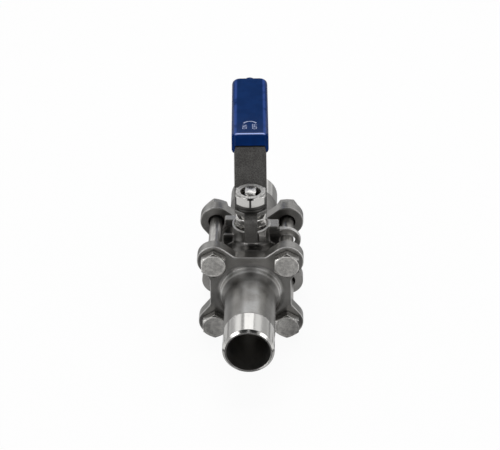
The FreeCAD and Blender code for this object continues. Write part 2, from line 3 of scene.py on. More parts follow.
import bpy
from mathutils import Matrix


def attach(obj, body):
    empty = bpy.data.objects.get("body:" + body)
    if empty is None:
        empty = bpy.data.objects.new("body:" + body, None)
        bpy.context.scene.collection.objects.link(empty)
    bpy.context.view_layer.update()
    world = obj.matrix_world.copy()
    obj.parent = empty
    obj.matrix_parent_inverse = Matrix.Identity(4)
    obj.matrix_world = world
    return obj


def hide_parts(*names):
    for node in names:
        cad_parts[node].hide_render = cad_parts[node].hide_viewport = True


bl_info = {
    "name": "Three-piece ball valve looks",
    "version": (1, 0, 0),
    "blender": (4, 5, 0),
    "location": "3D View > Sidebar > Valve",
    "description": "Dresses the packed ball valve piece by piece and lights it on a pale floor",
    "category": "Add Mesh",
}

import math

import bmesh
import bpy
from mathutils import Matrix, Vector

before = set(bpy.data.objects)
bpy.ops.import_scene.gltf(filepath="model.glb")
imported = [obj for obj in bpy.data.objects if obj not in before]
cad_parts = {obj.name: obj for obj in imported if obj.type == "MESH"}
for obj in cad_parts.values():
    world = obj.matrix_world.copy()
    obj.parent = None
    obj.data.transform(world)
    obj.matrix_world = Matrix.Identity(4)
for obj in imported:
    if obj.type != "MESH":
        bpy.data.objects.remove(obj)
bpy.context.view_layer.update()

MM = 0.001
FULL_TURN = 2 * math.pi
QUARTER_TURN = math.pi / 2
IMAGE_WIDTH = 500

# Camera, fitted to the pipe ends, the lugs, the bolt heads, the stem and the lever of the photograph
CAMERA_AZIMUTH = math.radians(1.661)
CAMERA_ELEVATION = math.radians(31.830)
CAMERA_ROLL = math.radians(-0.792)
CAMERA_DISTANCE = 932.574 * MM
CAMERA_TARGET = Vector((-0.540, 0, 27.665)) * MM
CAMERA_FOCAL = 1723.755
SENSOR_WIDTH = 36.0

# Fasteners on the bolt circle
BOLT_SPACING = 39.0 * MM
FLANGE_OUT = 23.8 * MM
BOLT_FLATS = 13.0 * MM
BOLT_CROWN = 0.94 * BOLT_FLATS / 2
BOLT_HEAD = 5.3 * MM
BOLT_LENGTH = 55.0 * MM
BOLT_THREAD_START = 41.0 * MM
CHAMFER_SLOPE = math.tan(math.radians(30))
CORNERS = ("Lower left turn", "Upper left turn", "Lower right turn", "Upper right turn")

# Stem, gland nut, stem nut and washers
STEM_R = 5.0 * MM
STEM_HOLE_R = STEM_R + 0.05 * MM
STEM_TOP = 49.8 * MM
STEM_THREAD_LOW = 26.6 * MM
FLATS_FROM = 37.3 * MM
STEM_FLATS = 5.8 * MM
NUT_FLATS = 16.0 * MM
NUT_CROWN = 0.96 * NUT_FLATS / 2
WASHER_LOW = 39.8 * MM
WASHER_THICK = 1.5 * MM
SPRING_THICK = 1.8 * MM

# Lever
LEVER_T = 2.5 * MM
LEVER_HALF = 8.8 * MM
LEVER_LEVEL = 38.55 * MM
LEVER_REACH = 95.4 * MM
LEVER_LEAN = math.radians(1.4)
NOSE_Y = -11.75 * MM
NOSE_LOW = 24.3 * MM
NOSE_HALF = 3.55 * MM
RISE_Y = 9.5 * MM
RISE_ANGLE = math.radians(52.2)
RISE = 27.0 * MM
GRIP_Y = RISE_Y + RISE / math.tan(RISE_ANGLE)
GRIP_Z = LEVER_LEVEL + RISE

# Sleeve and its print
SLEEVE_HALF = 10.1 * MM
SLEEVE_THICK = 2.44 * MM
SLEEVE_WALL = 1.0 * MM
SLEEVE_START = 25.1 * MM
SLEEVE_END = 96.8 * MM
SLEEVE_ROUND = 2.3 * MM
SLEEVE_SOFT = 3.4 * MM
SLEEVE_END_R = 4.2 * MM
FOLD_Y = 29.4 * MM
INK_THICK = 0.02 * MM

# Stage
FLOOR_Z = -28.45 * MM
ON_FLOOR = -28.0 * MM
UNDER_PIPE = -27.5 * MM
AIM = Vector((0, 0, 20)) * MM
FLOOR_SIZE = 8.0
FLOOR_LEVEL = 0.62
FLOOR_GLOW = 0.93
ROOM_LEVEL = 0.48
DARK = 0.03
DIM = 0.10
WHITE = (1, 1, 1, 1)
PALE = (0.88, 0.88, 0.88, 1)


def size_property(name, description, default, low, high):
    """A length that a user may change, given here in millimetres."""
    return bpy.props.FloatProperty(
        name=name, description=description, default=default * MM, min=low * MM, max=high * MM,
        precision=5, unit="LENGTH")


class ValveSizes(bpy.types.PropertyGroup):
    """Sizes of the valve's fine detail."""

    bolt_pitch: size_property("Bolt pitch", "Rise of the flange bolts' thread in a turn", 1.25, 0.5, 2)
    stem_pitch: size_property("Stem pitch", "Rise of the stem's thread in a turn", 1.5, 0.5, 2)
    nut_turns: bpy.props.FloatVectorProperty(
        name="Nut turns",
        description="How far the nuts stand off level: lower left, upper left, lower right, upper right",
        size=4, default=[math.radians(a) for a in (-6, 17, 9, -1)], unit="ROTATION")
    edge_round: size_property("Edge rounding", "Rounding of the edges of nuts and heads", 0.18, 0.02, 0.5)
    sheet_round: size_property("Sheet edge rounding", "Rounding of the edges of the lever", 0.3, 0.05, 1)
    cast_grain: size_property("Cast grain", "Size of the grains on the blasted castings", 0.35, 0.1, 2)
    letter_height: size_property("Letter height", "Height of the words ON and OFF", 2.65, 1, 6)


def colour_property(name, description, default):
    """A colour that a user may change."""
    return bpy.props.FloatVectorProperty(
        name=name, description=description, default=default, size=3, min=0, max=1, subtype="COLOR")


class ValveColours(bpy.types.PropertyGroup):
    """Colours of the valve's finishes."""

    cast: colour_property("Casting", "Blasted stainless casting", (0.310, 0.303, 0.292))
    machined: colour_property("Machined", "Turned stainless", (0.68, 0.67, 0.65))
    fastener: colour_property("Fastener", "Cold headed stainless bolts and nuts", (0.42, 0.412, 0.398))
    bright: colour_property("Bright", "Bright stainless nuts, stem and washers", (0.66, 0.65, 0.63))
    # The washers' colour is painted dark: painted shade for the shade under the stem nut.
    dark: colour_property("Dark", "Spring steel washers", (0.09, 0.088, 0.084))
    lever: colour_property("Lever", "Blasted stainless sheet", (0.160, 0.156, 0.150))
    sleeve: colour_property("Sleeve", "Vinyl sleeve", (0.001, 0.018, 0.098))
    # The top colour is painted light: the sleeve's vinyl made lighter where the grip's top faces the light.
    sleeve_top: colour_property("Sleeve top", "Vinyl stretched over the grip", (0.006, 0.026, 0.105))
    ink: colour_property("Ink", "Print on the sleeve", (0.40, 0.45, 0.64))
    seat: colour_property("Seat", "Seats, gaskets and packing", (0.86, 0.86, 0.83))
    rubber: colour_property("Rubber", "Ring seal of the stem", (0.015, 0.015, 0.015))


# Node trees


class Value:
    """A node's output that takes part in sums."""

    def __init__(self, nodes, socket):
        self.nodes = nodes
        self.socket = socket

    def output(self, key):
        """Another output of the same node."""
        return Value(self.nodes, self.socket.node.outputs[key])

    def math(self, operation, *values):
        return self.nodes.node("ShaderNodeMath", {"operation": operation}, *values)

    def __add__(self, other):
        return self.math("ADD", self, other)

    def __radd__(self, other):
        return self.math("ADD", other, self)

    def __sub__(self, other):
        return self.math("SUBTRACT", self, other)

    def __rsub__(self, other):
        return self.math("SUBTRACT", other, self)

    def __mul__(self, other):
        return self.math("MULTIPLY", self, other)

    def __rmul__(self, other):
        return self.math("MULTIPLY", other, self)

    def __abs__(self):
        return self.math("ABSOLUTE", self)

    def sine(self):
        return self.math("SINE", self)


class Nodes:
    """A node tree that is built node by node."""

    def __init__(self, tree):
        self.tree = tree

    def node(self, kind, settings, *values, output=0, **named):
        """A node with its settings, then its sockets by place or by name, and one of its outputs."""
        made = self.tree.nodes.new(kind)
        for name, setting in settings.items():
            if name == "items":
                while len(made.index_switch_items) < setting:
                    made.index_switch_items.new()
            else:
                setattr(made, name, setting)
        for key, value in [*enumerate(values), *((k.replace("_", " "), v) for k, v in named.items())]:
            if isinstance(value, Value):
                self.tree.links.new(value.socket, made.inputs[key])
            elif value is not None:
                made.inputs[key].default_value = value
        return Value(self, made.outputs[output]) if made.outputs else None


class Shades(Nodes):
    """A material that is built node by node."""

    def __init__(self, name, colour=None):
        self.material = bpy.data.materials.new(name)
        self.material.use_nodes = True
        super().__init__(self.material.node_tree)
        self.tree.nodes.clear()
        self.colours = bpy.context.scene.valve_colours
        self.own = getattr(self.colours, colour) if colour else None
        self.place = self.node("ShaderNodeTexCoord", {}, output="Object")
        self.x = self.node("ShaderNodeSeparateXYZ", {}, self.place)
        self.y, self.z = self.x.output("Y"), self.x.output("Z")

    def noise(self, size, detail=3.0, roughness=0.55, vector=None):
        return self.node("ShaderNodeTexNoise", {}, Vector=vector or self.place, Scale=1 / size,
                         Detail=detail, Roughness=roughness)

    def brushed(self, scale, detail=2, roughness=0.5):
        """Noise with its own number of grains to the metre along each axis."""
        stretched = self.node("ShaderNodeVectorMath", {"operation": "MULTIPLY"}, self.place, scale)
        return self.noise(1.0, detail, roughness, stretched)

    def mask(self, value, low, high):
        """Rises softly from nought at low to one at high."""
        settings = {"interpolation_type": "SMOOTHSTEP"}
        return self.node("ShaderNodeMapRange", settings, Value=value, From_Min=low, From_Max=high)

    def above(self, value, low, high):
        """A mask of a length, from one to another in millimetres."""
        return self.mask(value, low * MM, high * MM)

    def below(self, value, low, high):
        return 1 - self.above(value, low, high)

    def between(self, value, start, full, fading, end):
        """One from full to fading, nought before start and past end."""
        return self.above(value, start, full) * self.below(value, fading, end)

    def near(self, value, middle, full, end):
        """One within full of the middle, nought past end from it."""
        return self.below(abs(value - middle * MM), full, end)

    def mix(self, factor, first, second):
        """A blend of two colours; a number is the material's own colour made so much lighter."""
        colours = [c if isinstance(c, Value) else (*self.tone(c), 1) for c in (first, second)]
        return self.node("ShaderNodeMix", {"data_type": "RGBA"}, factor, *[None] * 5, *colours, output=2)

    def tone(self, colour):
        return shade(self.own, colour) if isinstance(colour, (int, float)) else colour

    def bevel(self, samples, radius):
        """Normals that round the edges by so many millimetres."""
        return self.node("ShaderNodeBevel", {"samples": samples}, radius * MM)

    def bump(self, height, distance, strength, normal=None):
        """A relief so many millimetres deep."""
        return self.node("ShaderNodeBump", {}, Strength=strength, Distance=distance * MM, Height=height,
                         Normal=normal)

    def either(self, a, b):
        return self.node("ShaderNodeMath", {"operation": "MAXIMUM"}, a, b)

    def distance(self, a, b):
        return self.node("ShaderNodeMath", {"operation": "SQRT"}, a * a + b * b)

    def lever_axes(self):
        """How far across and along the leaning lever each point lies."""
        cos, sin = math.cos(LEVER_LEAN), math.sin(LEVER_LEAN)
        return abs(self.x * cos + self.y * sin), self.y * cos - self.x * sin

    def finish(self, shader):
        self.node("ShaderNodeOutputMaterial", {}, shader)
        return self.material

    def surface(self, colour, roughness, normal=None, **named):
        return self.finish(self.node(
            "ShaderNodeBsdfPrincipled", {}, Base_Color=colour, Roughness=roughness, Normal=normal, **named))

    def metal(self, colour, roughness, normal):
        return self.surface(colour, roughness, normal, Metallic=1.0)


def shade(colour, factor):
    """The same colour, lighter or darker."""
    return tuple(min(1.0, c * factor) for c in colour)


# Finishes; lengths in their masks are in millimetres


def casting_material(name, places, tone):
    """Blasted casting, turned at its places, with painted light in its bores, and with painted highlights,
    painted shade and rounded edges from its tone.
    """
    s = Shades(name, "cast")
    grain = bpy.context.scene.valve_sizes.cast_grain
    turned, bore = places(s)
    turned = turned * (1 - bore)
    cloud = s.noise(9 * MM, 3)
    speck = s.noise(grain, 2, 0.6)
    dimple = s.noise(3.5 * grain, 2, 0.5)
    blotches = cloud * 0.5 + speck * 0.5
    patches = s.mask(blotches, 0.40, 0.60)
    wear_and_highlight, shaded, rounded = tone(s)
    # Painted highlight where the tone lightens the casting, up to more than three times as light, and painted
    # shade where it shades it, down to a fifth.
    cast = s.mix(shaded, s.mix(wear_and_highlight, s.mix(patches, 0.80, 1.20), s.mix(patches, 2.3, 3.4)), 0.2)
    lines = (s.y * (FULL_TURN / (0.16 * MM))).sine()
    streaks_and_shade = s.brushed((40, 5200, 40))
    bright = s.mix(streaks_and_shade, shade(s.colours.machined, 0.90), shade(s.colours.machined, 1.06))
    cast_rough = s.mask(blotches, 0.3, 0.7) * 0.10 + 0.31 + wear_and_highlight * 0.15
    roughness = cast_rough + turned * (streaks_and_shade * 0.10 + 0.10 - cast_rough)
    relief = (speck * 0.55 + dimple * 0.45) * (1 - turned) + turned * (lines * 0.02 + streaks_and_shade * 0.08)
    edges = s.mix(rounded, s.bevel(6, 0.35), s.bevel(8, 2.4))
    # The bores are painted half again as light as the casting: painted light standing in for the light inside
    # them.
    colour = s.mix(bore, s.mix(turned, cast, bright), 1.5)
    return s.metal(colour, roughness, s.bump(relief, 0.05, 0.55, edges))


def cap_places(s):
    """The weld band, the bevel and the joint face of an end cap, and its bore up to the land."""
    along, radius = abs(s.y), s.distance(s.x, s.z)
    band = s.above(along, 62.4, 62.6)
    joint = s.below(along, 16.55, 16.7) * s.below(radius, 21.4, 21.6)
    return s.either(band, joint), s.below(radius, 11.45, 11.6)


def cap_tone(s):
    """Painted highlights along the top of the tube, on the hub, on the lobes and along the flanges' edges;
    painted shade on the neck and round the hub's root; the collar's edges are rounded widely.
    """
    along, radius = abs(s.y), s.distance(s.x, s.z)
    top = s.above(s.z, 2, 7)
    crown = s.near(s.x, 1.0, 2.0, 8.0)
    second = s.near(s.x, -7.0, 0.5, 3.0) * s.above(along, 36, 44) * 0.4
    core = s.near(s.x, 1.0, 1.0, 5.5) * s.above(along, 35, 40)
    sides = s.near(abs(s.x), 6.5, 1.0, 4.0) * s.below(along, 36, 41)
    tube = (s.above(along, 30, 34) * (crown * 0.8 + core * 0.6 + sides * 0.3) + second) * top
    hub = s.between(along, 24.2, 25.0, 27.6, 28.6) * s.below(radius, 16.4, 16.8)
    shoulders = hub * s.above(abs(s.x), 1, 5) * s.above(s.z, -3, 3)
    neck = s.between(along, 27.5, 28.3, 30.0, 32.0) * top
    root = s.between(radius, 16.5, 16.9, 17.6, 19.0) * s.above(along, 23.7, 23.8) * s.above(s.z, 2, 12)
    flange = s.between(along, 16.9, 17.2, 23.5, 23.7)
    lobes = flange * s.above(abs(s.x), 12, 16) * s.above(s.z, 4, 10)
    rear = s.above(s.y, -1, 1)
    edge = flange * s.above(along, 23.0, 23.2) * (1 - rear)
    rear_edge = rear * s.between(along, 16.65, 16.75, 17.2, 17.5)
    rear_edge = rear_edge * s.above(radius, 18, 20) * s.above(s.z, 8, 12)
    # Painted highlights: the tube's crown, the hub and its shoulders, the lobes, the front flange's front
    # edge and the rear flange's edge.
    wear_and_highlight = tube * 0.9 + shoulders + (hub - shoulders) * 0.45 + lobes * 0.15 + edge * 0.85 + rear_edge * 0.6
    collar = s.between(along, 23.7, 23.8, 29.5, 30.5) * s.below(radius, 18.6, 19.0)
    # Painted shade on the neck and round the hub's root.
    return wear_and_highlight, neck * 0.25 + root * 0.5, collar


def body_places(s):
    """The bore of the boss and the joint faces of the centre body, and its cavity."""
    joint = s.above(abs(s.y), 16.35, 16.48)
    boss_bore = s.below(s.distance(s.x, s.y), 9.1, 9.35) * s.above(s.z, 17.5, 18.0)
    return s.either(boss_bore, joint), s.below(s.distance(s.x, s.z), 17.6, 17.8)


def body_tone(s):
    """Painted highlights round the boss's top edge and on the ear's rim; painted shade at the boss's foot and
    on the front faces of the side lugs, and the foot's edges rounded.
    """
    rim = s.above(s.z, 28.3, 28.6)
    from_bolt = s.distance(s.x - BOLT_SPACING / 2, s.z - BOLT_SPACING / 2)
    ear = s.above(from_bolt, 7.1, 7.3) * s.above(s.x, 15.3, 15.8) * s.above(s.z, 16, 18)
    pocket = s.between(abs(s.x), 9.8, 10.4, 16, 17) * s.between(s.z, 13, 15, 23.0, 24.4)
    pocket = pocket * s.below(s.y, -1, 1)
    foot = s.between(s.z, 19.0, 20.5, 21.6, 22.6)
    # Painted highlights on the boss's rim and the ear; painted shade at the foot and on the lugs' front
    # faces.
    return rim * 0.9 + ear * 0.8, foot * 0.25 + pocket * 0.6, foot


def fastener_material():
    """Cold headed stainless: mottled nuts, smooth shanks with painted light at the front and painted shade
    towards the rear flange, dull head faces with painted light, and head chamfers with a painted highlight on
    the left, painted shade on the right and a painted highlight line above facets painted a little darker.
    """
    s = Shades("fastener_steel", "fastener")
    cloud = s.noise(2.4 * MM, 4, 0.6)
    fine = s.noise(0.22 * MM, 2)
    mottled = s.mix(s.mask(cloud, 0.35, 0.65), 0.82, 1.15)
    # Painted light: the head faces are made lighter than the rest, with mottling.
    wear_and_highlight = s.mix(s.mask(cloud * 0.5 + fine * 0.5, 0.40, 0.60), 1.30, 2.15)
    axis = s.distance(abs(s.x) - BOLT_SPACING / 2, abs(s.z) - BOLT_SPACING / 2)
    shank = s.below(axis, 4.1, 4.3)
    face = s.below(s.y, -28.95, -28.85)
    front = s.below(s.y, -23.6, -23.4) * (1 - face)
    smooth = shank * (1 - face) + front * (1 - shank)
    # Painted light on the shanks near the front flange and painted shade towards the rear flange.
    streaks_and_shade = s.mix(s.above(s.y, 2, 15), 1.5, 0.5)
    below_chamfer = s.y + (FLANGE_OUT + BOLT_HEAD) - (axis - BOLT_CROWN) * CHAMFER_SLOPE
    chamfer, line = s.below(below_chamfer, 0.06, 0.14), s.below(below_chamfer, 0.45, 0.65)
    from_axis = s.x + BOLT_SPACING / 2 - s.above(s.x, -1, 1) * BOLT_SPACING
    # Painted highlight on the left side of each head's chamfer and painted shade on its right.
    rim = s.mix(s.below(from_axis, -3.0, -0.8), 0.35, 2.3)
    # Painted highlight line where the chamfer meets the facets; the facets are painted a little darker, as
    # painted shade.
    head = s.mix(chamfer, s.mix(line, 0.7, 2.3), rim)
    sides = s.mix(front, s.mix(shank, mottled, streaks_and_shade), head)
    edges = s.mix(front, s.bevel(4, 0.10), s.bevel(8, 0.60))
    return s.metal(
        s.mix(face, sides, wear_and_highlight),
        s.mask(cloud, 0.3, 0.7) * 0.10 + 0.32 - smooth * (0.13 - shank * 0.12) + face * 0.14,
        s.bump((cloud * 0.6 + fine * 0.4) * (1 - smooth), 0.05, 0.5, edges))


def bright_material():
    """Bright stainless with fine upright brushing."""
    s = Shades("bright_steel", "bright")
    brushed = s.brushed((5200, 5200, 420), 3, 0.6)
    cloud = s.noise(1.8 * MM, 3)
    return s.metal(s.mix(cloud * 0.5 + brushed * 0.5, 0.95, 1.40), brushed * 0.16 + 0.14,
                   s.bump(brushed * 0.6 + cloud * 0.4, 0.02, 0.6))


def nut_material():
    """Bright stainless: the stem nut's top is dull and painted lighter, its chamfer has painted highlights at
    the sides and its corners and the front of its chamfer have painted shade; the gland nut is broken into
    painted highlights and painted shade.
    """
    s = Shades("nut_steel", "bright")
    brushed = s.brushed((5200, 5200, 420), 3, 0.6)
    cloud = s.noise(1.6 * MM, 3)
    side = s.mix(cloud * 0.5 + brushed * 0.5, 0.74, 1.00)
    # Painted light: the stem nut's top face is made lighter than its sides.
    ends = s.mix(s.mask(cloud, 0.42, 0.58), 1.15, 1.5)
    end = s.above(s.z, 49.00, 49.05)
    radius = s.distance(s.x, s.y)
    chamfer = s.above(radius, 8.3, 8.45) * s.above(s.z, 48.0, 48.1)
    # Painted highlights on the chamfer at the left and right.
    light = chamfer * s.above(abs(s.x), 3.0, 4.5)
    # Painted shade on the corners and the front of the chamfer.
    corner = (s.above(radius, 8.85, 9.0) + chamfer - light) * (1 - end) * (1 - light)
    gland = s.below(s.z, 36.0, 36.5)
    # Painted highlights and painted shade in spots over the gland nut, and a painted highlight along its top.
    spots = s.mask(s.noise(1.8 * MM, 1), 0.50, 0.56) + s.above(s.z, 33.9, 34.1)
    top_nut = s.mix(corner, s.mix(end + light, side, ends), 0.12)
    roughness = brushed * 0.10 + 0.12 + end * 0.26 + gland * 0.06
    return s.metal(s.mix(gland, top_nut, s.mix(spots, 0.5, 1.5)), roughness,
                   s.bump((brushed * 0.6 + cloud * 0.4) * (1 - gland), 0.02, 0.6))


def dark_material():
    """Dull spring steel of the washers, painted dark as painted shade for the shade under the stem nut."""
    s = Shades("dark_steel", "dark")
    turned = s.brushed((300, 300, 5200), 3, 0.6)
    return s.metal(s.mix(turned, 0.7, 1.3), turned * 0.2 + 0.28, s.bump(turned, 0.02, 0.5))


def polished_material():
    """The ball's mirror finish, with the faint rings of its grinding."""
    s = Shades("polished_steel", "machined")
    rings = s.brushed((60, 60, 3600))
    return s.metal(s.mix(rings, 0.94, 1.0), rings * 0.05 + 0.05, s.bump(rings, 0.004, 0.4))


def lever_material():
    """Blasted stainless sheet, its sheared sides brighter, with painted highlight lines along the shoulders'
    edges and a painted shadow on the steel under the sleeve's mouth.
    """
    s = Shades("blasted_sheet", "lever")
    grain = s.noise(0.50 * MM, 2, 0.65)
    cloud = s.noise(6 * MM, 3)
    across, along = s.lever_axes()
    long_side = s.above(across - LEVER_HALF, -0.14, -0.06)
    # Outwards over the slanted side of the shoulder
    outwards = across * 0.625 - along * 0.78
    shoulder = s.above(outwards, 8.26, 8.34) * s.between(along, -8.0, -7.8, -3.8, -3.6)
    # Painted highlight lines along the top and bottom edges of each shoulder.
    rim = shoulder * s.above(abs(s.z - LEVER_LEVEL), 0.92, 1.05)
    side = long_side + rim * (1 - long_side)
    face = s.mix(s.mask(grain * 0.75 + cloud * 0.25, 0.38, 0.62), 0.72, 1.45)
    # Painted shadow on the steel just under the sleeve's mouth.
    under_sleeve = s.above(along, 25.5, 26.0) * s.below(s.z - GRIP_Z, 0, 1)
    sheared = s.brushed((4000, 900, 300))
    edge = s.mix(sheared, shade(s.colours.bright, 0.65), shade(s.colours.bright, 0.9))
    return s.metal(s.mix(side, s.mix(under_sleeve, face, 0.1), edge), grain * 0.18 + 0.40,
                   s.bump(grain, 0.06, 0.6))


def sleeve_material():
    """Glossy dipped vinyl, painted lighter on its top and end, with a painted highlight along the fold and
    painted highlights streaking its two sides.
    """
    s = Shades("blue_vinyl", "sleeve")
    slow = s.noise(7 * MM, 2)
    fine = s.noise(0.8 * MM, 2)
    patches = s.mask(slow, 0.35, 0.65)
    across, along = s.lever_axes()
    # Painted light: the top and the end take the lighter top colour.
    top = s.above(s.z - GRIP_Z, 1.4, 1.8)
    end = s.above(along, 93, 94)
    # Painted highlight along the fold.
    fold = s.below(abs(along - FOLD_Y), 0.10, 0.62) * s.below(across, 7.2, 8.6) * top
    # Painted highlights streaking the two sides of the top.
    side = s.near(across, 8.0, 0.2, 1.2) * s.mask(slow, 0.2, 0.5)
    upper = s.mix(patches, shade(s.colours.sleeve_top, 0.92), shade(s.colours.sleeve_top, 1.08))
    upper = s.mix(side, upper, (0.030, 0.068, 0.250))
    colour = s.mix(fold, s.mix(top + end, s.mix(patches, 0.88, 1.12), upper), (0.42, 0.50, 0.88))
    return s.surface(colour, fine * 0.08 + 0.20, s.bump(slow * 0.85 + fine * 0.15, 0.12, 0.6), IOR=1.16)


def ink_material():
    """White ink with a little wear."""
    s = Shades("white_ink", "ink")
    wear_and_highlight = s.noise(0.3 * MM, 3)
    return s.surface(s.mix(s.mask(wear_and_highlight, 0.3, 0.6), 0.78, 1.0), wear_and_highlight * 0.2 + 0.4)


def seat_material():
    """Turned fluoropolymer."""
    s = Shades("seat_polymer", "seat")
    cloud = s.noise(1.5 * MM, 3)
    rings = s.brushed((80, 4000, 80))
    return s.surface(s.mix(cloud, 0.93, 1.0), cloud * 0.1 + 0.42, s.bump(rings, 0.02, 0.4))


def rubber_material():
    """Black rubber."""
    s = Shades("black_rubber", "rubber")
    fine = s.noise(0.2 * MM, 3)
    return s.surface(s.mix(fine, 1.0, 1.8), fine * 0.2 + 0.5, s.bump(fine, 0.02, 0.4))


MATERIALS = {
    "cap": lambda: casting_material("cast_cap", cap_places, cap_tone),
    "body": lambda: casting_material("cast_body", body_places, body_tone),
    "fastener": fastener_material,
    "bright": bright_material,
    "nut": nut_material,
    "dark": dark_material,
    "polished": polished_material,
    "lever": lever_material,
    "sleeve": sleeve_material,
    "ink": ink_material,
    "seat": seat_material,
    "rubber": rubber_material,
}
made_materials = {}


def material(name):
    """One of the finishes, built the first time it is asked for."""
    if name not in made_materials:
        made_materials[name] = MATERIALS[name]()
    return made_materials[name]


def dress_nodes(finish, *nodes):
    """Gives CAD nodes their finish."""
    for node in nodes:
        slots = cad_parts[node].data.materials
        if len(slots) == 0:
            slots.append(material(finish))
        for k in range(len(slots)):
            slots[k] = material(finish)


# Meshes


def in_scene(name, data):
    """A new object of the scene that shows the data."""
    obj = bpy.data.objects.new(name, data)
    bpy.context.scene.collection.objects.link(obj)
    return obj


def shown_mesh(obj):
    """The mesh that the object's modifiers or its curve make."""
    bpy.context.view_layer.update()
    return bpy.data.meshes.new_from_object(obj.evaluated_get(bpy.context.evaluated_depsgraph_get()))


def baked(obj):
    """The object with its modifiers applied."""
    mesh, old = shown_mesh(obj), obj.data
    obj.modifiers.clear()
    obj.data = mesh
    bpy.data.meshes.remove(old)
    mesh.name = obj.name
    return obj


def mesh_of_curve(curve):
    """The mesh that a flat curve or a text fills, in place of the curve."""
    streaks_and_shade = in_scene(curve.name, curve)
    mesh = shown_mesh(streaks_and_shade)
    bpy.data.objects.remove(streaks_and_shade)
    bpy.data.curves.remove(curve)
    return mesh


def piece_from(name, shells, finish=None):
    """An object from shells of points and faces, closed and facing outwards."""
    mesh = bpy.data.meshes.new(name)
    bm = bmesh.new()
    for points, faces in shells:
        made = [bm.verts.new(p) for p in points]
        for face in faces:
            corners = list(dict.fromkeys(made[k] for k in face))
            if len(corners) > 2:
                bm.faces.new(corners)
    bmesh.ops.remove_doubles(bm, verts=bm.verts, dist=0.002 * MM)
    bmesh.ops.dissolve_degenerate(bm, edges=bm.edges, dist=0.001 * MM)
    bmesh.ops.recalc_face_normals(bm, faces=bm.faces)
    for face in bm.faces:
        face.smooth = True
    bm.to_mesh(mesh)
    bm.free()
    if finish:
        mesh.materials.append(material(finish))
    return in_scene(name, mesh)


def hard_piece(name, shells, finish=None):
    """A piece whose large faces shade flat, so that only the narrow roundings between them turn."""
    obj = piece_from(name, shells, finish)
    modifier = obj.modifiers.new("faces", "WEIGHTED_NORMAL")
    modifier.weight = 100
    modifier.keep_sharp = True
    return baked(obj)


def polar(angle, radius=1.0):
    return Vector((math.cos(angle), math.sin(angle))) * radius


def round_z(radius, angle, height):
    return Vector((radius * math.cos(angle), radius * math.sin(angle), height))


def skin(columns, loop=False):
    """Faces over columns of points that go once round; the last column meets the first."""
    rows = len(columns[0])
    points = [p for column in columns for p in column]
    faces = []
    for k in range(len(columns)):
        here, there = k * rows, (k + 1) % len(columns) * rows
        for row in range(rows if loop else rows - 1):
            up = (row + 1) % rows
            faces.append((here + row, here + up, there + up, there + row))
    return points, faces


def lofted(rings, open_start=False):
    """A shell through rings of equally many points, its two ends closed unless the first stays open."""
    points, faces = skin(list(zip(*rings)))
    ends = [tuple(range(row, len(points), len(rings))) for row in (0, len(rings) - 1)]
    return points, faces + ends[open_start:]


def softened(profile, radius, loop=False):
    """The profile with each sharp corner cut back into three short steps."""
    count = len(profile)
    rounded = []
    for k, point in enumerate(profile):
        here = Vector(point)
        if not loop and k in (0, count - 1):
            rounded.append(here)
            continue
        back, on = Vector(profile[k - 1]) - here, Vector(profile[(k + 1) % count]) - here
        reach = min(radius, 0.45 * back.length, 0.45 * on.length)
        start, end = here + back.normalized() * reach, here + on.normalized() * reach
        rounded += [start, (start + end) * 0.3 + here * 0.4, end]
    return rounded


def turned_shell(profile, radius, steps=72, loop=False):
    """A turned shell about Z from a profile of radius and height, its corners softened."""
    soft = softened(profile, radius, loop)
    angles = [FULL_TURN * k / steps for k in range(steps)]
    return skin([[round_z(p[0], angle, p[1]) for p in soft] for angle in angles], loop)


def rod(radius, low, high):
    """The profile of a plain round rod."""
    return [(0, low), (radius, low), (radius, high), (0, high)]


def hexagon_outline(flats, corner_round):
    """Radius and angle of points round a hexagon with rounded corners, a corner on +X."""
    per_flat, per_corner = 8, 4
    sixth = math.pi / 3
    centre = (flats / 2 - corner_round) / math.cos(sixth / 2)
    points = []
    for side in range(6):
        turn = sixth * side
        for k in range(per_corner + 1):
            angle = turn - sixth / 2 + sixth * k / per_corner
            points.append(polar(turn, centre) + polar(angle, corner_round))
        first = points[-1]
        last = polar(turn + sixth, centre) + polar(turn + sixth / 2, corner_round)
        points += [first.lerp(last, k / per_flat) for k in range(1, per_flat)]
    return [(p.length, math.atan2(p.y, p.x)) for p in points]


def chamfer_height(radius, crown):
    """How far a thirty degree chamfer has dropped at this radius."""
    return max(0.0, radius - crown) * CHAMFER_SLOPE


def nut_shell(flats, thick, bore, crown, pitch, edge, countersink, corner):
    """A hexagon nut on Z from 0 up, its corners turned off at both ends, with a thread in its bore."""
    groove = 0.35 * MM
    rows = max(6, int(thick / pitch * 6))
    mouth = bore + countersink
    columns = []
    for radius, angle in hexagon_outline(flats, corner):
        drop = chamfer_height(radius, crown)
        outer = softened([
            (bore, countersink), (mouth, 0), (crown, 0), (radius, drop), (radius, thick - drop),
            (crown, thick), (mouth, thick), (bore, thick - countersink)], edge)
        column = [round_z(r, angle, h) for r, h in outer]
        for k in range(1, rows):
            height = thick - countersink - (thick - 2 * countersink) * k / rows
            phase = (height / pitch - angle / FULL_TURN) % 1.0
            share = min(1.0, max(0.0, 1.6 - abs(phase - 0.5) * 4.2))
            column.append(round_z(bore + groove * share, angle, height))
        columns.append(column)
    return skin(columns, loop=True)


def head_shell(flats, thick, crown, edge):
    """A bolt head on Z from 0 up: a washer face, corners turned off and a slightly dished top."""
    washer_face = 0.3 * MM
    columns = []
    for radius, angle in hexagon_outline(flats, 0.3 * MM):
        outer = softened([
            (0, 0), (0.44 * flats, 0), (0.45 * flats, washer_face), (radius, washer_face + 0.02 * MM),
            (radius, thick - chamfer_height(radius, crown)), (crown, thick),
            (crown - 0.35 * MM, thick + 0.02 * MM), (crown - 0.8 * MM, thick - 0.12 * MM),
            (0, thick - 0.14 * MM)], edge)
        columns.append([round_z(r, angle, h) for r, h in outer])
    return skin(columns)


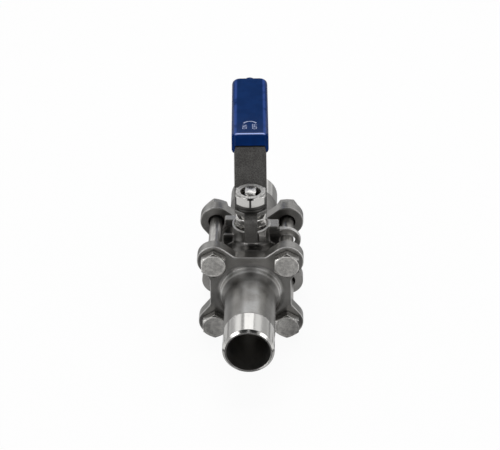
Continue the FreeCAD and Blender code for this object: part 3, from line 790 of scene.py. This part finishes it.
def thread_shell(radius, depth, pitch, low, high, chamfer, steps=36):
    """A threaded rod on Z whose grooves run as one helix, closed at both ends."""
    turns = int((high - low) / pitch) + 2
    cuts, shares = (1.0, 0.0, 0.0, 1.0), (0.0, 0.38, 0.50, 0.88)
    columns = []
    for k in range(steps):
        column = [Vector((0, 0, low))]
        for row in range(4 * turns + 1):
            share = row // 4 + shares[row % 4] + k / steps - 1
            height = min(max(low + share * pitch, low), high)
            fade = min(1.0, (height - low) / pitch, (high - height) / (0.5 * pitch))
            cut = max(depth * (cuts[row % 4] * fade + (1 - fade)), chamfer - (high - height))
            column.append(round_z(radius - cut, FULL_TURN * k / steps, height))
        columns.append(column + [Vector((0, 0, high))])
    rows = len(columns[0])
    faces = []
    for k in range(steps):
        here, there = k * rows, (k + 1) % steps * rows
        lift = 0 if there else 4
        beside = [there] + [there + min(row + lift, rows - 1) for row in range(1, rows)]
        for row in range(rows - 1):
            faces.append((here + row, here + row + 1, beside[row + 1], beside[row]))
        faces += [(there, there + row, there + row + 1) for row in range(1, 1 + lift)]
    return [p for column in columns for p in column], faces


def moved(shell, matrix):
    """A shell turned and shifted."""
    points, faces = shell
    return [matrix @ p for p in points], faces


def add_to_body(obj, body, slot, *nodes):
    """The piece rides on a body and stands for the nodes, which it hides; the slot is not used."""
    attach(obj, body)
    if nodes:
        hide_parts(*nodes)


# Fasteners on the bolt circle


def four_of_them():
    """A tree that sets one fastener on each corner of a square across the pipe."""
    tree = bpy.data.node_groups.new("four_of_them", "GeometryNodeTree")
    sockets = {"Geometry": "Geometry", "Fastener": "Object", "Spacing": "Float", "Face": "Float",
               **dict.fromkeys(CORNERS, "Float"), "Finish": "Material"}
    for name, kind in sockets.items():
        tree.interface.new_socket(name, in_out="INPUT", socket_type="NodeSocket" + kind)
    tree.interface.new_socket("Geometry", in_out="OUTPUT", socket_type="NodeSocketGeometry")
    g = Nodes(tree)
    start = g.node("NodeGroupInput", {})
    spacing = start.output("Spacing")
    square = g.node("GeometryNodeMeshGrid", {}, Size_X=spacing, Size_Y=spacing, Vertices_X=2, Vertices_Y=2)
    place = g.node("ShaderNodeCombineXYZ", {}, Y=start.output("Face"))
    stand = g.node("GeometryNodeTransform", {}, Geometry=square, Translation=place,
                   Rotation=(QUARTER_TURN, 0, 0))
    fastener = g.node("GeometryNodeObjectInfo", {}, Object=start.output("Fastener"), output="Geometry")
    turn = g.node("GeometryNodeIndexSwitch", {"data_type": "FLOAT", "items": len(CORNERS)},
                  g.node("GeometryNodeInputIndex", {}), *[start.output(corner) for corner in CORNERS])
    copies = g.node("GeometryNodeInstanceOnPoints", {}, Points=stand, Instance=fastener,
                    Rotation=g.node("ShaderNodeCombineXYZ", {}, Y=turn))
    real = g.node("GeometryNodeRealizeInstances", {}, copies)
    g.node("NodeGroupOutput", {}, g.node(
        "GeometryNodeSetMaterial", {}, Geometry=real, Material=start.output("Finish")))
    return tree


def on_bolt_circle(name, single, face, turns, finish):
    """One object with a copy of the single fastener on each bolt's line."""
    tree = bpy.data.node_groups.get("four_of_them") or four_of_them()
    obj = piece_from(name, [])
    modifier = obj.modifiers.new("copies", "NODES")
    modifier.node_group = tree
    keys = {item.name: item.identifier for item in tree.interface.items_tree if item.in_out == "INPUT"}
    inputs = {"Fastener": single, "Spacing": BOLT_SPACING, "Face": face, **dict(zip(CORNERS, turns)),
              "Finish": material(finish)}
    for socket, value in inputs.items():
        modifier[keys[socket]] = value
    baked(obj)
    bpy.data.objects.remove(single)
    return obj


class VALVE_OT_flange_bolts(bpy.types.Operator):
    """Four long bolts, their heads on the front flange"""

    bl_idname = "valve.flange_bolts"
    bl_label = "Flange bolts"

    def execute(self, context):
        sizes = context.scene.valve_sizes
        head = head_shell(BOLT_FLATS, BOLT_HEAD, BOLT_CROWN, sizes.edge_round)
        shank_r, into_head, into_thread = 3.55 * MM, 2 * MM, 0.6 * MM
        shank = turned_shell(rod(shank_r, -into_head, BOLT_THREAD_START + into_thread), 0.2 * MM, 40)
        thread = thread_shell(radius=4.0 * MM, depth=0.62 * MM, pitch=sizes.bolt_pitch, low=BOLT_THREAD_START,
                              high=BOLT_LENGTH, chamfer=0.8 * MM)
        to_front = Matrix.Rotation(QUARTER_TURN, 4, "X") @ Matrix.Rotation(QUARTER_TURN, 4, "Z")
        to_back = Matrix.Rotation(-QUARTER_TURN, 4, "X")
        single = hard_piece("one_bolt", [
            moved(head, to_front), moved(shank, to_back), moved(thread, to_back)])
        bolts = on_bolt_circle("long_bolts", single, -FLANGE_OUT, (0.0, 0.0, 0.0, 0.0), "fastener")
        add_to_body(bolts, "valve_body", "bolt_steel", "flange_bolts")
        return {"FINISHED"}


class VALVE_OT_flange_nuts(bpy.types.Operator):
    """Four nuts on the back of the rear flange"""

    bl_idname = "valve.flange_nuts"
    bl_label = "Flange nuts"

    def execute(self, context):
        sizes = context.scene.valve_sizes
        shell = nut_shell(
            BOLT_FLATS, thick=6.5 * MM, bore=4.05 * MM, crown=BOLT_CROWN, pitch=sizes.bolt_pitch,
            edge=sizes.edge_round, countersink=0.4 * MM, corner=0.25 * MM)
        single = hard_piece("one_nut", [moved(shell, Matrix.Rotation(-QUARTER_TURN, 4, "X"))])
        nuts = on_bolt_circle("back_nuts", single, FLANGE_OUT, sizes.nut_turns, "fastener")
        add_to_body(nuts, "valve_body", "bolt_steel", "flange_nuts")
        return {"FINISHED"}


# Stem, gland nut, stem nut and washers


def between_flats(shell, axis, half, low=0.0):
    """The shell with its points above low pressed between two flats."""
    for p in shell[0]:
        if p.z > low:
            setattr(p, axis, min(max(getattr(p, axis), -half), half))
    return shell


class VALVE_OT_stem(bpy.types.Operator):
    """The stem: tang, collar, ring groove, thread and two flats at the top"""

    bl_idname = "valve.stem"
    bl_label = "Stem"

    def execute(self, context):
        pitch = context.scene.valve_sizes.stem_pitch
        tang_low, tang_top, tang_r, tang_half = 12.45 * MM, 17.2 * MM, 4.7 * MM, 2.35 * MM
        collar_low, collar_top, collar_r = 16.8 * MM, 18.6 * MM, 7 * MM
        groove_low, groove_top, groove_r = 20.15 * MM, 21.45 * MM, 3.75 * MM
        top = STEM_THREAD_LOW + 0.1 * MM
        plain = turned_shell([
            (0, collar_low), (collar_r, collar_low), (collar_r, collar_top), (STEM_R, collar_top),
            (STEM_R, groove_low), (groove_r, groove_low), (groove_r, groove_top), (STEM_R, groove_top),
            (STEM_R, top), (0, top)], 0.12 * MM)
        thread = thread_shell(STEM_R, depth=0.75 * MM, pitch=pitch, low=STEM_THREAD_LOW, high=STEM_TOP,
                              chamfer=0.6 * MM, steps=48)
        tang = between_flats(turned_shell(rod(tang_r, tang_low, tang_top), 0.2 * MM), "y", tang_half)
        thread = between_flats(thread, "x", STEM_FLATS / 2, FLATS_FROM)
        stem = hard_piece("threaded_stem", [tang, plain, thread], "bright")
        add_to_body(stem, "stem_and_lever", "bright_steel", "stem")
        return {"FINISHED"}


class VALVE_OT_top_nuts(bpy.types.Operator):
    """The gland nut under the lever and the stem nut above it, a corner of each to the front"""

    bl_idname = "valve.top_nuts"
    bl_label = "Gland nut and stem nut"

    def execute(self, context):
        sizes = context.scene.valve_sizes
        for name, node, low, thick, countersink in (
                ("thin_gland_nut", "gland_nut", 29.9 * MM, 5.0 * MM, 0.4 * MM),
                ("top_stem_nut", "stem_nut", 43.1 * MM, 6.0 * MM, 0.6 * MM)):
            shell = nut_shell(NUT_FLATS, thick, STEM_HOLE_R, NUT_CROWN, sizes.stem_pitch, sizes.edge_round,
                              countersink, corner=0.7 * MM)
            place = Matrix.Translation((0, 0, low)) @ Matrix.Rotation(QUARTER_TURN, 4, "Z")
            nut = hard_piece(name, [moved(shell, place)], "nut")
            add_to_body(nut, "stem_and_lever", "bright_steel", node)
        return {"FINISHED"}


class VALVE_OT_washers(bpy.types.Operator):
    """The flat washer and the split spring washer between the lever and the stem nut"""

    bl_idname = "valve.washers"
    bl_label = "Washers"

    def execute(self, context):
        inner, outer, low, high = STEM_HOLE_R, 8 * MM, WASHER_LOW, WASHER_LOW + WASHER_THICK
        flat = turned_shell([(inner, low), (outer, low), (outer, high), (inner, high)], 0.25 * MM, loop=True)
        washer = hard_piece("flat_washer", [flat], "dark")
        add_to_body(washer, "stem_and_lever", "bright_steel", "lever_washer")
        split = hard_piece("split_washer", [self.split_ring(high, SPRING_THICK, inner, 7.8 * MM)], "dark")
        add_to_body(split, "stem_and_lever", "bright_steel", "lever_spring_washer")
        return {"FINISHED"}

    def split_ring(self, low, thick, inner, outer):
        """A ring of square wire, cut through on a slant."""
        steps, cut_at, gap, slant = 60, 0.9, 0.16, 0.10
        section = softened([(inner, 0), (outer, 0), (outer, thick), (inner, thick)], 0.3 * MM, True)
        rings = []
        for k in range(steps + 1):
            turn = cut_at + gap / 2 + (FULL_TURN - gap) * k / steps
            rings.append([round_z(r, turn + slant * (h / thick - 0.5), low + h) for r, h in section])
        return lofted(rings)


# Lever and sleeve


def rounded_path(corners, per_arc=10):
    """Stations along straight runs whose corners are rounded; corners are (a, b, radius)."""
    stations = []
    for k, (a, b, radius) in enumerate(corners):
        here = Vector((a, b))
        if radius == 0 or k in (0, len(corners) - 1):
            stations.append(here)
            continue
        back = (Vector(corners[k - 1][:2]) - here).normalized()
        on = (Vector(corners[k + 1][:2]) - here).normalized()
        half = back.angle(on) / 2
        middle = here + (back + on).normalized() * (radius / math.sin(half))
        start, end = here + back * (radius / math.tan(half)), here + on * (radius / math.tan(half))
        first = math.atan2(start.y - middle.y, start.x - middle.x)
        sweep = math.atan2(end.y - middle.y, end.x - middle.x) - first
        sweep = (sweep + math.pi) % FULL_TURN - math.pi
        stations += [middle + polar(first + sweep * step / per_arc, radius) for step in range(per_arc + 1)]
    return stations


def lever_line():
    """Stations on the middle line of the lever's sheet in Y and Z, nose first, and the length up to each."""
    stations = rounded_path([
        (NOSE_Y, NOSE_LOW, 0), (NOSE_Y, LEVER_LEVEL, 2.45 * MM), (RISE_Y, LEVER_LEVEL, 2.5 * MM),
        (GRIP_Y, GRIP_Z, 2.5 * MM), (LEVER_REACH, GRIP_Z, 0)])
    lengths = [0.0]
    for before, after in zip(stations, stations[1:]):
        lengths.append(lengths[-1] + (after - before).length)
    return stations, lengths


def bent(point, stations, lengths):
    """A point of the flat sheet (length, across, above) on the bent one."""
    length, across, above = point
    k = 1
    while k < len(lengths) - 1 and lengths[k] < length:
        k += 1
    before, after = stations[k - 1], stations[k]
    share = (length - lengths[k - 1]) / (lengths[k] - lengths[k - 1])
    way = after - before
    if way.length <= 1.2 * MM:
        ways = [stations[min(j + 1, len(stations) - 1)] - stations[max(j - 1, 0)] for j in (k - 1, k)]
        way = ways[0].normalized().lerp(ways[1].normalized(), share)
    normal = Vector((-way.y, way.x)).normalized()
    place = before.lerp(after, share) + normal * above
    return Vector((across, place.x, place.y))


def flat_outline(corners, per_arc=6):
    """A closed outline with rounded corners in length and across."""
    points = []
    for k, corner in enumerate(corners):
        before, after = corners[k - 1], corners[(k + 1) % len(corners)]
        points += rounded_path([(*before[:2], 0), corner, (*after[:2], 0)], per_arc)[1:-1]
    return points


def sheet_metal(name, outlines, thick, edge, cuts):
    """A flat plate with rounded edges and holes, divided across its length for bending."""
    curve = bpy.data.curves.new(name, "CURVE")
    curve.dimensions = "2D"
    curve.fill_mode = "BOTH"
    curve.extrude = thick / 2 - edge
    curve.bevel_depth = edge
    curve.bevel_resolution = 2
    curve.offset = -edge
    for outline in outlines:
        spline = curve.splines.new("POLY")
        spline.points.add(len(outline) - 1)
        for target, point in zip(spline.points, outline):
            target.co = (point.x, point.y, 0, 1)
        spline.use_cyclic_u = True
    mesh = mesh_of_curve(curve)
    bm = bmesh.new()
    bm.from_mesh(mesh)
    bpy.data.meshes.remove(mesh)
    bmesh.ops.remove_doubles(bm, verts=bm.verts, dist=0.001 * MM)
    for cut in cuts:
        everything = bm.verts[:] + bm.edges[:] + bm.faces[:]
        bmesh.ops.bisect_plane(
            bm, geom=everything, plane_co=(cut, 0, 0), plane_no=(1, 0, 0), dist=0.0005 * MM)
    bm.verts.index_update()
    shell = [v.co.copy() for v in bm.verts], [tuple(v.index for v in f.verts) for f in bm.faces]
    bm.free()
    return shell


class VALVE_OT_lever(bpy.types.Operator):
    """The lever, bent from sheet, with its nose, shoulders and the hole for the stem's flats"""

    bl_idname = "valve.lever"
    bl_label = "Lever"

    def execute(self, context):
        stations, lengths = lever_line()
        level_start = next(k for k, p in enumerate(stations) if abs(p.y - LEVER_LEVEL) < 0.001 * MM)
        stem = lengths[level_start] - stations[level_start].x
        shoulder_start, shoulder_end, shoulder_round = stem - 7.9 * MM, stem - 3.7 * MM, 1 * MM
        side = [(0, NOSE_HALF, 0.3 * MM), (shoulder_start, NOSE_HALF, shoulder_round),
                (shoulder_end, LEVER_HALF, shoulder_round), (lengths[-1], LEVER_HALF, 4 * MM)]
        outline = flat_outline([(a, -b, r) for a, b, r in side] + side[::-1])
        edge = context.scene.valve_sizes.sheet_round
        points, faces = sheet_metal(
            "lever_sheet", [outline, self.stem_hole(stem)], LEVER_T, edge, lengths[1:-1])
        curved = [bent(p, stations, lengths) for p in points], faces
        lever = hard_piece("lever_blade", [moved(curved, Matrix.Rotation(LEVER_LEAN, 4, "Z"))], "lever")
        add_to_body(lever, "stem_and_lever", "blasted_steel", "lever")
        return {"FINISHED"}

    def stem_hole(self, middle):
        """A round hole with two flats, about a point on the sheet's middle."""
        flat = STEM_FLATS / 2 + 0.05 * MM
        corner = math.atan2(flat, math.sqrt(STEM_HOLE_R ** 2 - flat ** 2))
        angles = [start + 2 * corner * k / 12 for start in (-corner, math.pi - corner) for k in range(13)]
        return [Vector((middle + STEM_HOLE_R * math.cos(a), STEM_HOLE_R * math.sin(a))) for a in angles]


def drawn_in(left, radius):
    """How far a rounded corner has pulled in, this close to its end."""
    return radius - math.sqrt(max(0.0, radius ** 2 - max(0.0, radius - left) ** 2))


class VALVE_OT_sleeve(bpy.types.Operator):
    """The vinyl sleeve: a soft flat tube over the grip, closed at its end, with a small nub"""

    bl_idname = "valve.sleeve"
    bl_label = "Sleeve"

    def execute(self, context):
        up = polar(RISE_ANGLE + QUARTER_TURN)
        start = Vector((SLEEVE_START, LEVER_LEVEL + (SLEEVE_START - RISE_Y) * math.tan(RISE_ANGLE)))
        between = (up + Vector((0, 1))).normalized()
        away = SLEEVE_THICK / between.dot(up)
        sides, top_fold, under_fold = [], 1.3 * MM, 3.5 * MM
        for side, radius in ((1, top_fold), (-1, under_fold)):
            corner = Vector((GRIP_Y, GRIP_Z)) + between * (away * side)
            first = start + up * (SLEEVE_THICK * side)
            last = Vector((SLEEVE_END, GRIP_Z + SLEEVE_THICK * side))
            sides.append(self.divided(rounded_path([(*first, 0), (*corner, radius), (*last, 0)], 8)))
        sleeve = piece_from("vinyl_sleeve", [self.tube(list(zip(*sides)))], "sleeve")
        wall = sleeve.modifiers.new("wall", "SOLIDIFY")
        wall.thickness = SLEEVE_WALL
        wall.offset = -1
        wall.use_even_offset = True
        lip = sleeve.modifiers.new("lip", "BEVEL")
        lip.width = 0.35 * MM
        lip.segments = 3
        lip.limit_method = "ANGLE"
        lip.angle_limit = math.radians(50)
        baked(sleeve)
        for obj in (sleeve, self.nub()):
            obj.data.transform(Matrix.Rotation(LEVER_LEAN, 4, "Z"))
            add_to_body(obj, "stem_and_lever", "sleeve_vinyl")
        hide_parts("lever_sleeve")
        return {"FINISHED"}

    def divided(self, stations):
        """The stations with the two straight runs divided evenly, closer near the ends."""
        first, *arc, last = stations
        run = [first.lerp(arc[0], k / 8) for k in range(8)]
        shares = [k / 30 for k in range(1, 28)] + [0.93, 0.96, 0.975, 0.985, 0.992, 0.997, 1.0]
        return run + arc + [arc[-1].lerp(last, share) for share in shares]

    def section(self, half, round_r):
        """Points round the sleeve's section as across and above (-1 to 1), closer near its sides."""
        flat = half - round_r
        points = [(-flat * math.cos(math.pi * k / 12), 1.0) for k in range(13)]
        for k in range(1, 12):
            side = polar(QUARTER_TURN - math.pi * k / 12)
            points.append((flat + round_r * side.x, side.y))
        return points + [(-across, -above) for across, above in points]

    def tube(self, stations):
        """The skin of the sleeve through pairs of top and bottom stations."""
        rings = []
        for top, bottom in stations:
            left = stations[-1][0].x - top.x
            half = SLEEVE_HALF - drawn_in(left, SLEEVE_END_R)
            thick = 1 - 0.85 * drawn_in(left, SLEEVE_ROUND) / SLEEVE_ROUND
            ring = []
            for across, above in self.section(half, SLEEVE_SOFT * (0.4 + 0.6 * thick)):
                place = (top + bottom) / 2 + (top - bottom) / 2 * above * thick
                ring.append(Vector((across, place.x, place.y)))
            rings.append(ring)
        self.cut_mouth(rings)
        return lofted(rings, open_start=True)

    def cut_mouth(self, rings):
        """The top skin starts a little further up the riser than the two sides, whose tips are rounded."""
        slope = Vector((0, *polar(RISE_ANGLE)))
        count, runs, tip = len(rings[0]), 8, 0.9 * MM
        top_lift, tip_lift = 3.3 * MM, 1.4 * MM
        for j in range(count):
            across = abs(rings[0][j].x)
            lift = tip_lift * max(0.0, (across - SLEEVE_HALF + tip) / tip) ** 2
            on_top = j < 16 or j > count - 4
            if on_top:
                share = min(1.0, max(0.0, (SLEEVE_HALF - SLEEVE_WALL - across) / tip))
                lift += top_lift * math.sqrt(1 - (1 - share) ** 2)
            for k in range(runs):
                rings[k][j] += slope * (lift * (1 - k / runs))

    def nub(self):
        """The small nub left by dipping, at the end of the sleeve."""
        half_w, half_t, steps = 2.6 * MM, 1.3 * MM, 28
        middle, root, tip = GRIP_Z + 0.7 * MM, SLEEVE_END - 1.6 * MM, 97.55 * MM
        rings = []
        for share, y in ((1.0, root), (1.0, tip - 0.5 * MM), (0.92, tip - 0.2 * MM), (0.75, tip - 0.05 * MM),
                         (0.5, tip)):
            around = [polar(FULL_TURN * k / steps, share) for k in range(steps)]
            rings.append([Vector((half_w * p.x, y, middle + half_t * p.y)) for p in around])
        return piece_from("sleeve_nub", [lofted(rings)], "sleeve")


class VALVE_OT_print(bpy.types.Operator):
    """The words ON and OFF and the arc between them on the sleeve"""

    bl_idname = "valve.print"
    bl_label = "Print"

    def execute(self, context):
        height = context.scene.valve_sizes.letter_height
        sunk = 0.015 * MM
        on_top = Matrix.Translation((0, 0, GRIP_Z + SLEEVE_THICK - sunk))
        place = Matrix.Rotation(LEVER_LEAN, 4, "Z") @ on_top
        shells = [self.word("ON", -2.95 * MM, 36.7 * MM, height, 4.6 * MM),
                  self.word("OFF", 2.5 * MM, 37.1 * MM, height, 5.7 * MM), self.arc(39.35 * MM)]
        words = piece_from("sleeve_print", [moved(shell, place) for shell in shells], "ink")
        for face in words.data.polygons:
            face.use_smooth = False
        add_to_body(words, "stem_and_lever", "print_white")
        return {"FINISHED"}

    def word(self, text, x, y, height, length):
        """A word as a thin shell, reading along the lever, its middle at x and y."""
        curve = bpy.data.curves.new(text, "FONT")
        curve.body = text
        curve.extrude = 1.0
        curve.resolution_u = 4
        mesh = mesh_of_curve(curve)
        low, high = (Vector([pick(v.co[k] for v in mesh.vertices) for k in range(3)]) for pick in (min, max))
        size = high - low
        centred = Matrix.Translation(-(low + high) / 2)
        scaled = Matrix.Diagonal((length / size.x, height / size.y, INK_THICK, 1)) @ centred
        mesh.transform(Matrix.Translation((x, y, 0)) @ Matrix.Rotation(QUARTER_TURN, 4, "Z") @ scaled)
        shell = [v.co.copy() for v in mesh.vertices], [tuple(p.vertices) for p in mesh.polygons]
        bpy.data.meshes.remove(mesh)
        return shell

    def arc(self, y):
        """A bowed stroke across the sleeve about a point on its middle, its ends heavier."""
        radius, stroke, half, steps = 3.8 * MM, 0.75 * MM, math.radians(64), 24
        rings = []
        for k in range(steps + 1):
            way = polar(QUARTER_TURN + half - 2 * half * k / steps)
            width = stroke * (0.7 + 0.5 * abs(k / steps * 2 - 1))
            rings.append([Vector((r * way.x, y + r * way.y, z)) for r, z in (
                (radius - width / 2, -INK_THICK), (radius + width / 2, -INK_THICK),
                (radius + width / 2, INK_THICK), (radius - width / 2, INK_THICK))])
        return lofted(rings)


# Pieces that keep their CAD mesh


class VALVE_OT_castings(bpy.types.Operator):
    """The centre body and the two end caps"""

    bl_idname = "valve.castings"
    bl_label = "Castings"

    def execute(self, context):
        dress_nodes("body", "center_body")
        dress_nodes("cap", "front_end_cap", "rear_end_cap")
        return {"FINISHED"}


class VALVE_OT_inner_pieces(bpy.types.Operator):
    """Ball, seats, gaskets, packing, follower and springs"""

    bl_idname = "valve.inner_pieces"
    bl_label = "Inner pieces"

    def execute(self, context):
        dress_nodes("polished", "ball")
        dress_nodes(
            "seat", "front_seat", "rear_seat", "front_body_gasket", "rear_body_gasket", "thrust_washer",
            "packing_ring_bottom", "packing_ring_middle", "packing_ring_top")
        dress_nodes("bright", "gland_follower", "lower_disc_spring", "upper_disc_spring")
        dress_nodes("rubber", "stem_o_ring")
        return {"FINISHED"}


# Stage


class VALVE_OT_stage(bpy.types.Operator):
    """Pale floor, soft lamps, white surroundings and the camera of the photograph"""

    bl_idname = "valve.stage"
    bl_label = "Stage"

    def execute(self, context):
        self.floor()
        self.world(context)
        self.lamp("overhead_back", (0, 0.52, 0.62), (0.50, 0.36), 3.0, hidden=True)
        self.lamp("overhead_strip", (0, 0.14, 0.80), (0.50, 0.10), 9.0, hidden=True)
        self.lamp("left_side", (-0.60, -0.55, 0.42), (0.42, 0.42), 2.6)
        self.lamp("right_side", (0.60, -0.55, 0.32), (0.42, 0.42), 2.3)
        self.card("dark_top_back", (0, 0.46, 0.80), (0.90, 0.50), DIM)
        self.card("white_back", (0, 0.60, 0.40), (0.33, 0.30), 1.5)
        self.card("white_left", (-0.355, 0.60, 0.25), (0.13, 0.45), 1.1)
        self.card("white_right", (0.305, 0.60, 0.30), (0.17, 0.40), 0.95)
        self.card("dark_by_grip", (0, 0.100, 0.088), (0.06, 0.038), DARK, QUARTER_TURN)
        self.card("grey_floor_front", (0, -0.15, ON_FLOOR), (0.13, 0.30), 0.12, 0)
        self.card("grey_floor_back", (0, 0.20, ON_FLOOR), (0.50, 0.26), 0.30, 0)
        self.card("white_under_pipe", (0, -0.009, UNDER_PIPE), (0.090, 0.040), 0.65, 0)
        self.card("white_before_pipe", (0, -0.049, UNDER_PIPE), (0.028, 0.028), 0.75, 0)
        self.card("white_land_left", (-0.0055, -0.1085, UNDER_PIPE), (0.005, 0.012), 0.8, 0)
        self.card("white_land_right", (0.0065, -0.1085, UNDER_PIPE), (0.006, 0.012), 1.4, 0)
        for hand, side in (("left", -1), ("right", 1)):
            self.card("dark_top_" + hand, (side * 0.210, -0.45, 0.86), (0.412, 1.4), DARK)
            self.card("dark_side_" + hand, (side * 0.86, 0.02, 0.50), (0.50, 0.80), DIM)
            self.card("grey_rim_" + hand, (side * 0.030, -0.071, UNDER_PIPE), (0.044, 0.018), 0.50, 0)
            self.card("white_floor_" + hand, (side * 0.11, -0.07, ON_FLOOR), (0.085, 0.12), 0.9, 0)
        self.camera(context)
        context.scene.view_settings.view_transform = "Standard"
        return {"FINISHED"}

    def sheet(self, name, size, place, s):
        """A flat sheet of a material, on the stage."""
        x, y = size[0] / 2, size[1] / 2
        mesh = bpy.data.meshes.new(name)
        mesh.from_pydata([(-x, -y, 0), (x, -y, 0), (x, y, 0), (-x, y, 0)], [], [(0, 1, 2, 3)])
        mesh.transform(place)
        mesh.materials.append(s.material)
        sheet = in_scene(name, mesh)
        return sheet

    def floor(self):
        """A wide pale floor, near white to the camera, that keeps the valve's shadow."""
        s = Shades("pale_floor")
        to_camera = s.node("ShaderNodeLightPath", {}, output="Is Camera Ray")
        to_gloss = to_camera.output("Is Glossy Ray")
        matt = s.node("ShaderNodeBsdfDiffuse", {}, PALE)
        glow = s.node("ShaderNodeEmission", {}, WHITE, to_camera + to_gloss * FLOOR_LEVEL)
        s.finish(s.node("ShaderNodeMixShader", {}, (to_camera + to_gloss) * FLOOR_GLOW, matt, glow))
        self.sheet("floor", (FLOOR_SIZE, FLOOR_SIZE), Matrix.Translation((0, 0, FLOOR_Z)), s)

    def world(self, context):
        """White to the camera, about half as bright to everything else."""
        world = bpy.data.worlds.new("white_room")
        world.use_nodes = True
        context.scene.world = world
        world.node_tree.nodes.clear()
        room = Nodes(world.node_tree)
        to_camera = room.node("ShaderNodeLightPath", {}, output="Is Camera Ray")
        level = room.node("ShaderNodeMapRange", {}, Value=to_camera, To_Min=ROOM_LEVEL, To_Max=1.0)
        room.node("ShaderNodeOutputWorld", {}, room.node("ShaderNodeBackground", {}, WHITE, level))

    def facing(self, place):
        """A place and a turn from which -Z looks at the valve."""
        way = AIM - Vector(place)
        return Matrix.Translation(place) @ way.to_track_quat("-Z", "Y").to_matrix().to_4x4()

    def lamp(self, name, place, size, level, hidden=False):
        """A soft box that faces the valve, as bright as a white sheet times its level."""
        light = bpy.data.lights.new(name, "AREA")
        light.shape = "RECTANGLE"
        light.size, light.size_y = size
        light.energy = level * math.pi * size[0] * size[1]
        lamp = in_scene(name, light)
        lamp.matrix_world = self.facing(place)
        lamp.visible_glossy = not hidden

    def card(self, name, place, size, level, tilt=None):
        """A card that only the metal's gloss sees; it faces the valve, or is tilted up from lying flat."""
        s = Shades(name)
        s.finish(s.node("ShaderNodeEmission", {}, WHITE, level))
        turn = Matrix.Translation(place) @ Matrix.Rotation(tilt or 0, 4, "X")
        card = self.sheet(name, size, self.facing(place) if tilt is None else turn, s)
        card.visible_camera = False
        card.visible_diffuse = False
        card.visible_transmission = False
        card.visible_shadow = False

    def camera(self, context):
        """The photograph's camera."""
        a, e, roll = CAMERA_AZIMUTH, CAMERA_ELEVATION, CAMERA_ROLL
        back = Vector((math.sin(a) * math.cos(e), -math.cos(a) * math.cos(e), math.sin(e)))
        right = (-back).cross(Vector((0, 0, 1))).normalized()
        up = right.cross(-back)
        turned_right = right * math.cos(roll) + up * math.sin(roll)
        turned_up = up * math.cos(roll) - right * math.sin(roll)
        data = bpy.data.cameras.new("photo_camera")
        data.sensor_fit = "HORIZONTAL"
        data.sensor_width = SENSOR_WIDTH
        data.lens = CAMERA_FOCAL * SENSOR_WIDTH / IMAGE_WIDTH
        data.clip_start = 0.01
        data.clip_end = 50
        camera = in_scene("photo_camera", data)
        axes = Matrix((turned_right, turned_up, back)).transposed().to_4x4()
        camera.matrix_world = Matrix.Translation(CAMERA_TARGET + back * CAMERA_DISTANCE) @ axes
        context.scene.camera = camera


PIECES = (
    VALVE_OT_stage,
    VALVE_OT_castings,
    VALVE_OT_inner_pieces,
    VALVE_OT_flange_bolts,
    VALVE_OT_flange_nuts,
    VALVE_OT_stem,
    VALVE_OT_top_nuts,
    VALVE_OT_washers,
    VALVE_OT_lever,
    VALVE_OT_sleeve,
    VALVE_OT_print,
)


class VALVE_PT_panel(bpy.types.Panel):
    """The valve's sizes, colours and pieces"""

    bl_label = "Ball valve"
    bl_space_type = "VIEW_3D"
    bl_region_type = "UI"
    bl_category = "Valve"

    def draw(self, context):
        layout = self.layout
        for group in (context.scene.valve_sizes, context.scene.valve_colours):
            for name in group.__annotations__:
                layout.prop(group, name)
        for piece in PIECES:
            layout.operator(piece.bl_idname)


CLASSES = (ValveSizes, ValveColours, *PIECES, VALVE_PT_panel)


def register():
    for entry in CLASSES:
        bpy.utils.register_class(entry)
    bpy.types.Scene.valve_sizes = bpy.props.PointerProperty(type=ValveSizes)
    bpy.types.Scene.valve_colours = bpy.props.PointerProperty(type=ValveColours)


def unregister():
    del bpy.types.Scene.valve_colours
    del bpy.types.Scene.valve_sizes
    for entry in reversed(CLASSES):
        bpy.utils.unregister_class(entry)


def main():
    register()
    for piece in PIECES:
        group, name = piece.bl_idname.split(".")
        getattr(getattr(bpy.ops, group), name)()


if __name__ == "__main__":
    main()
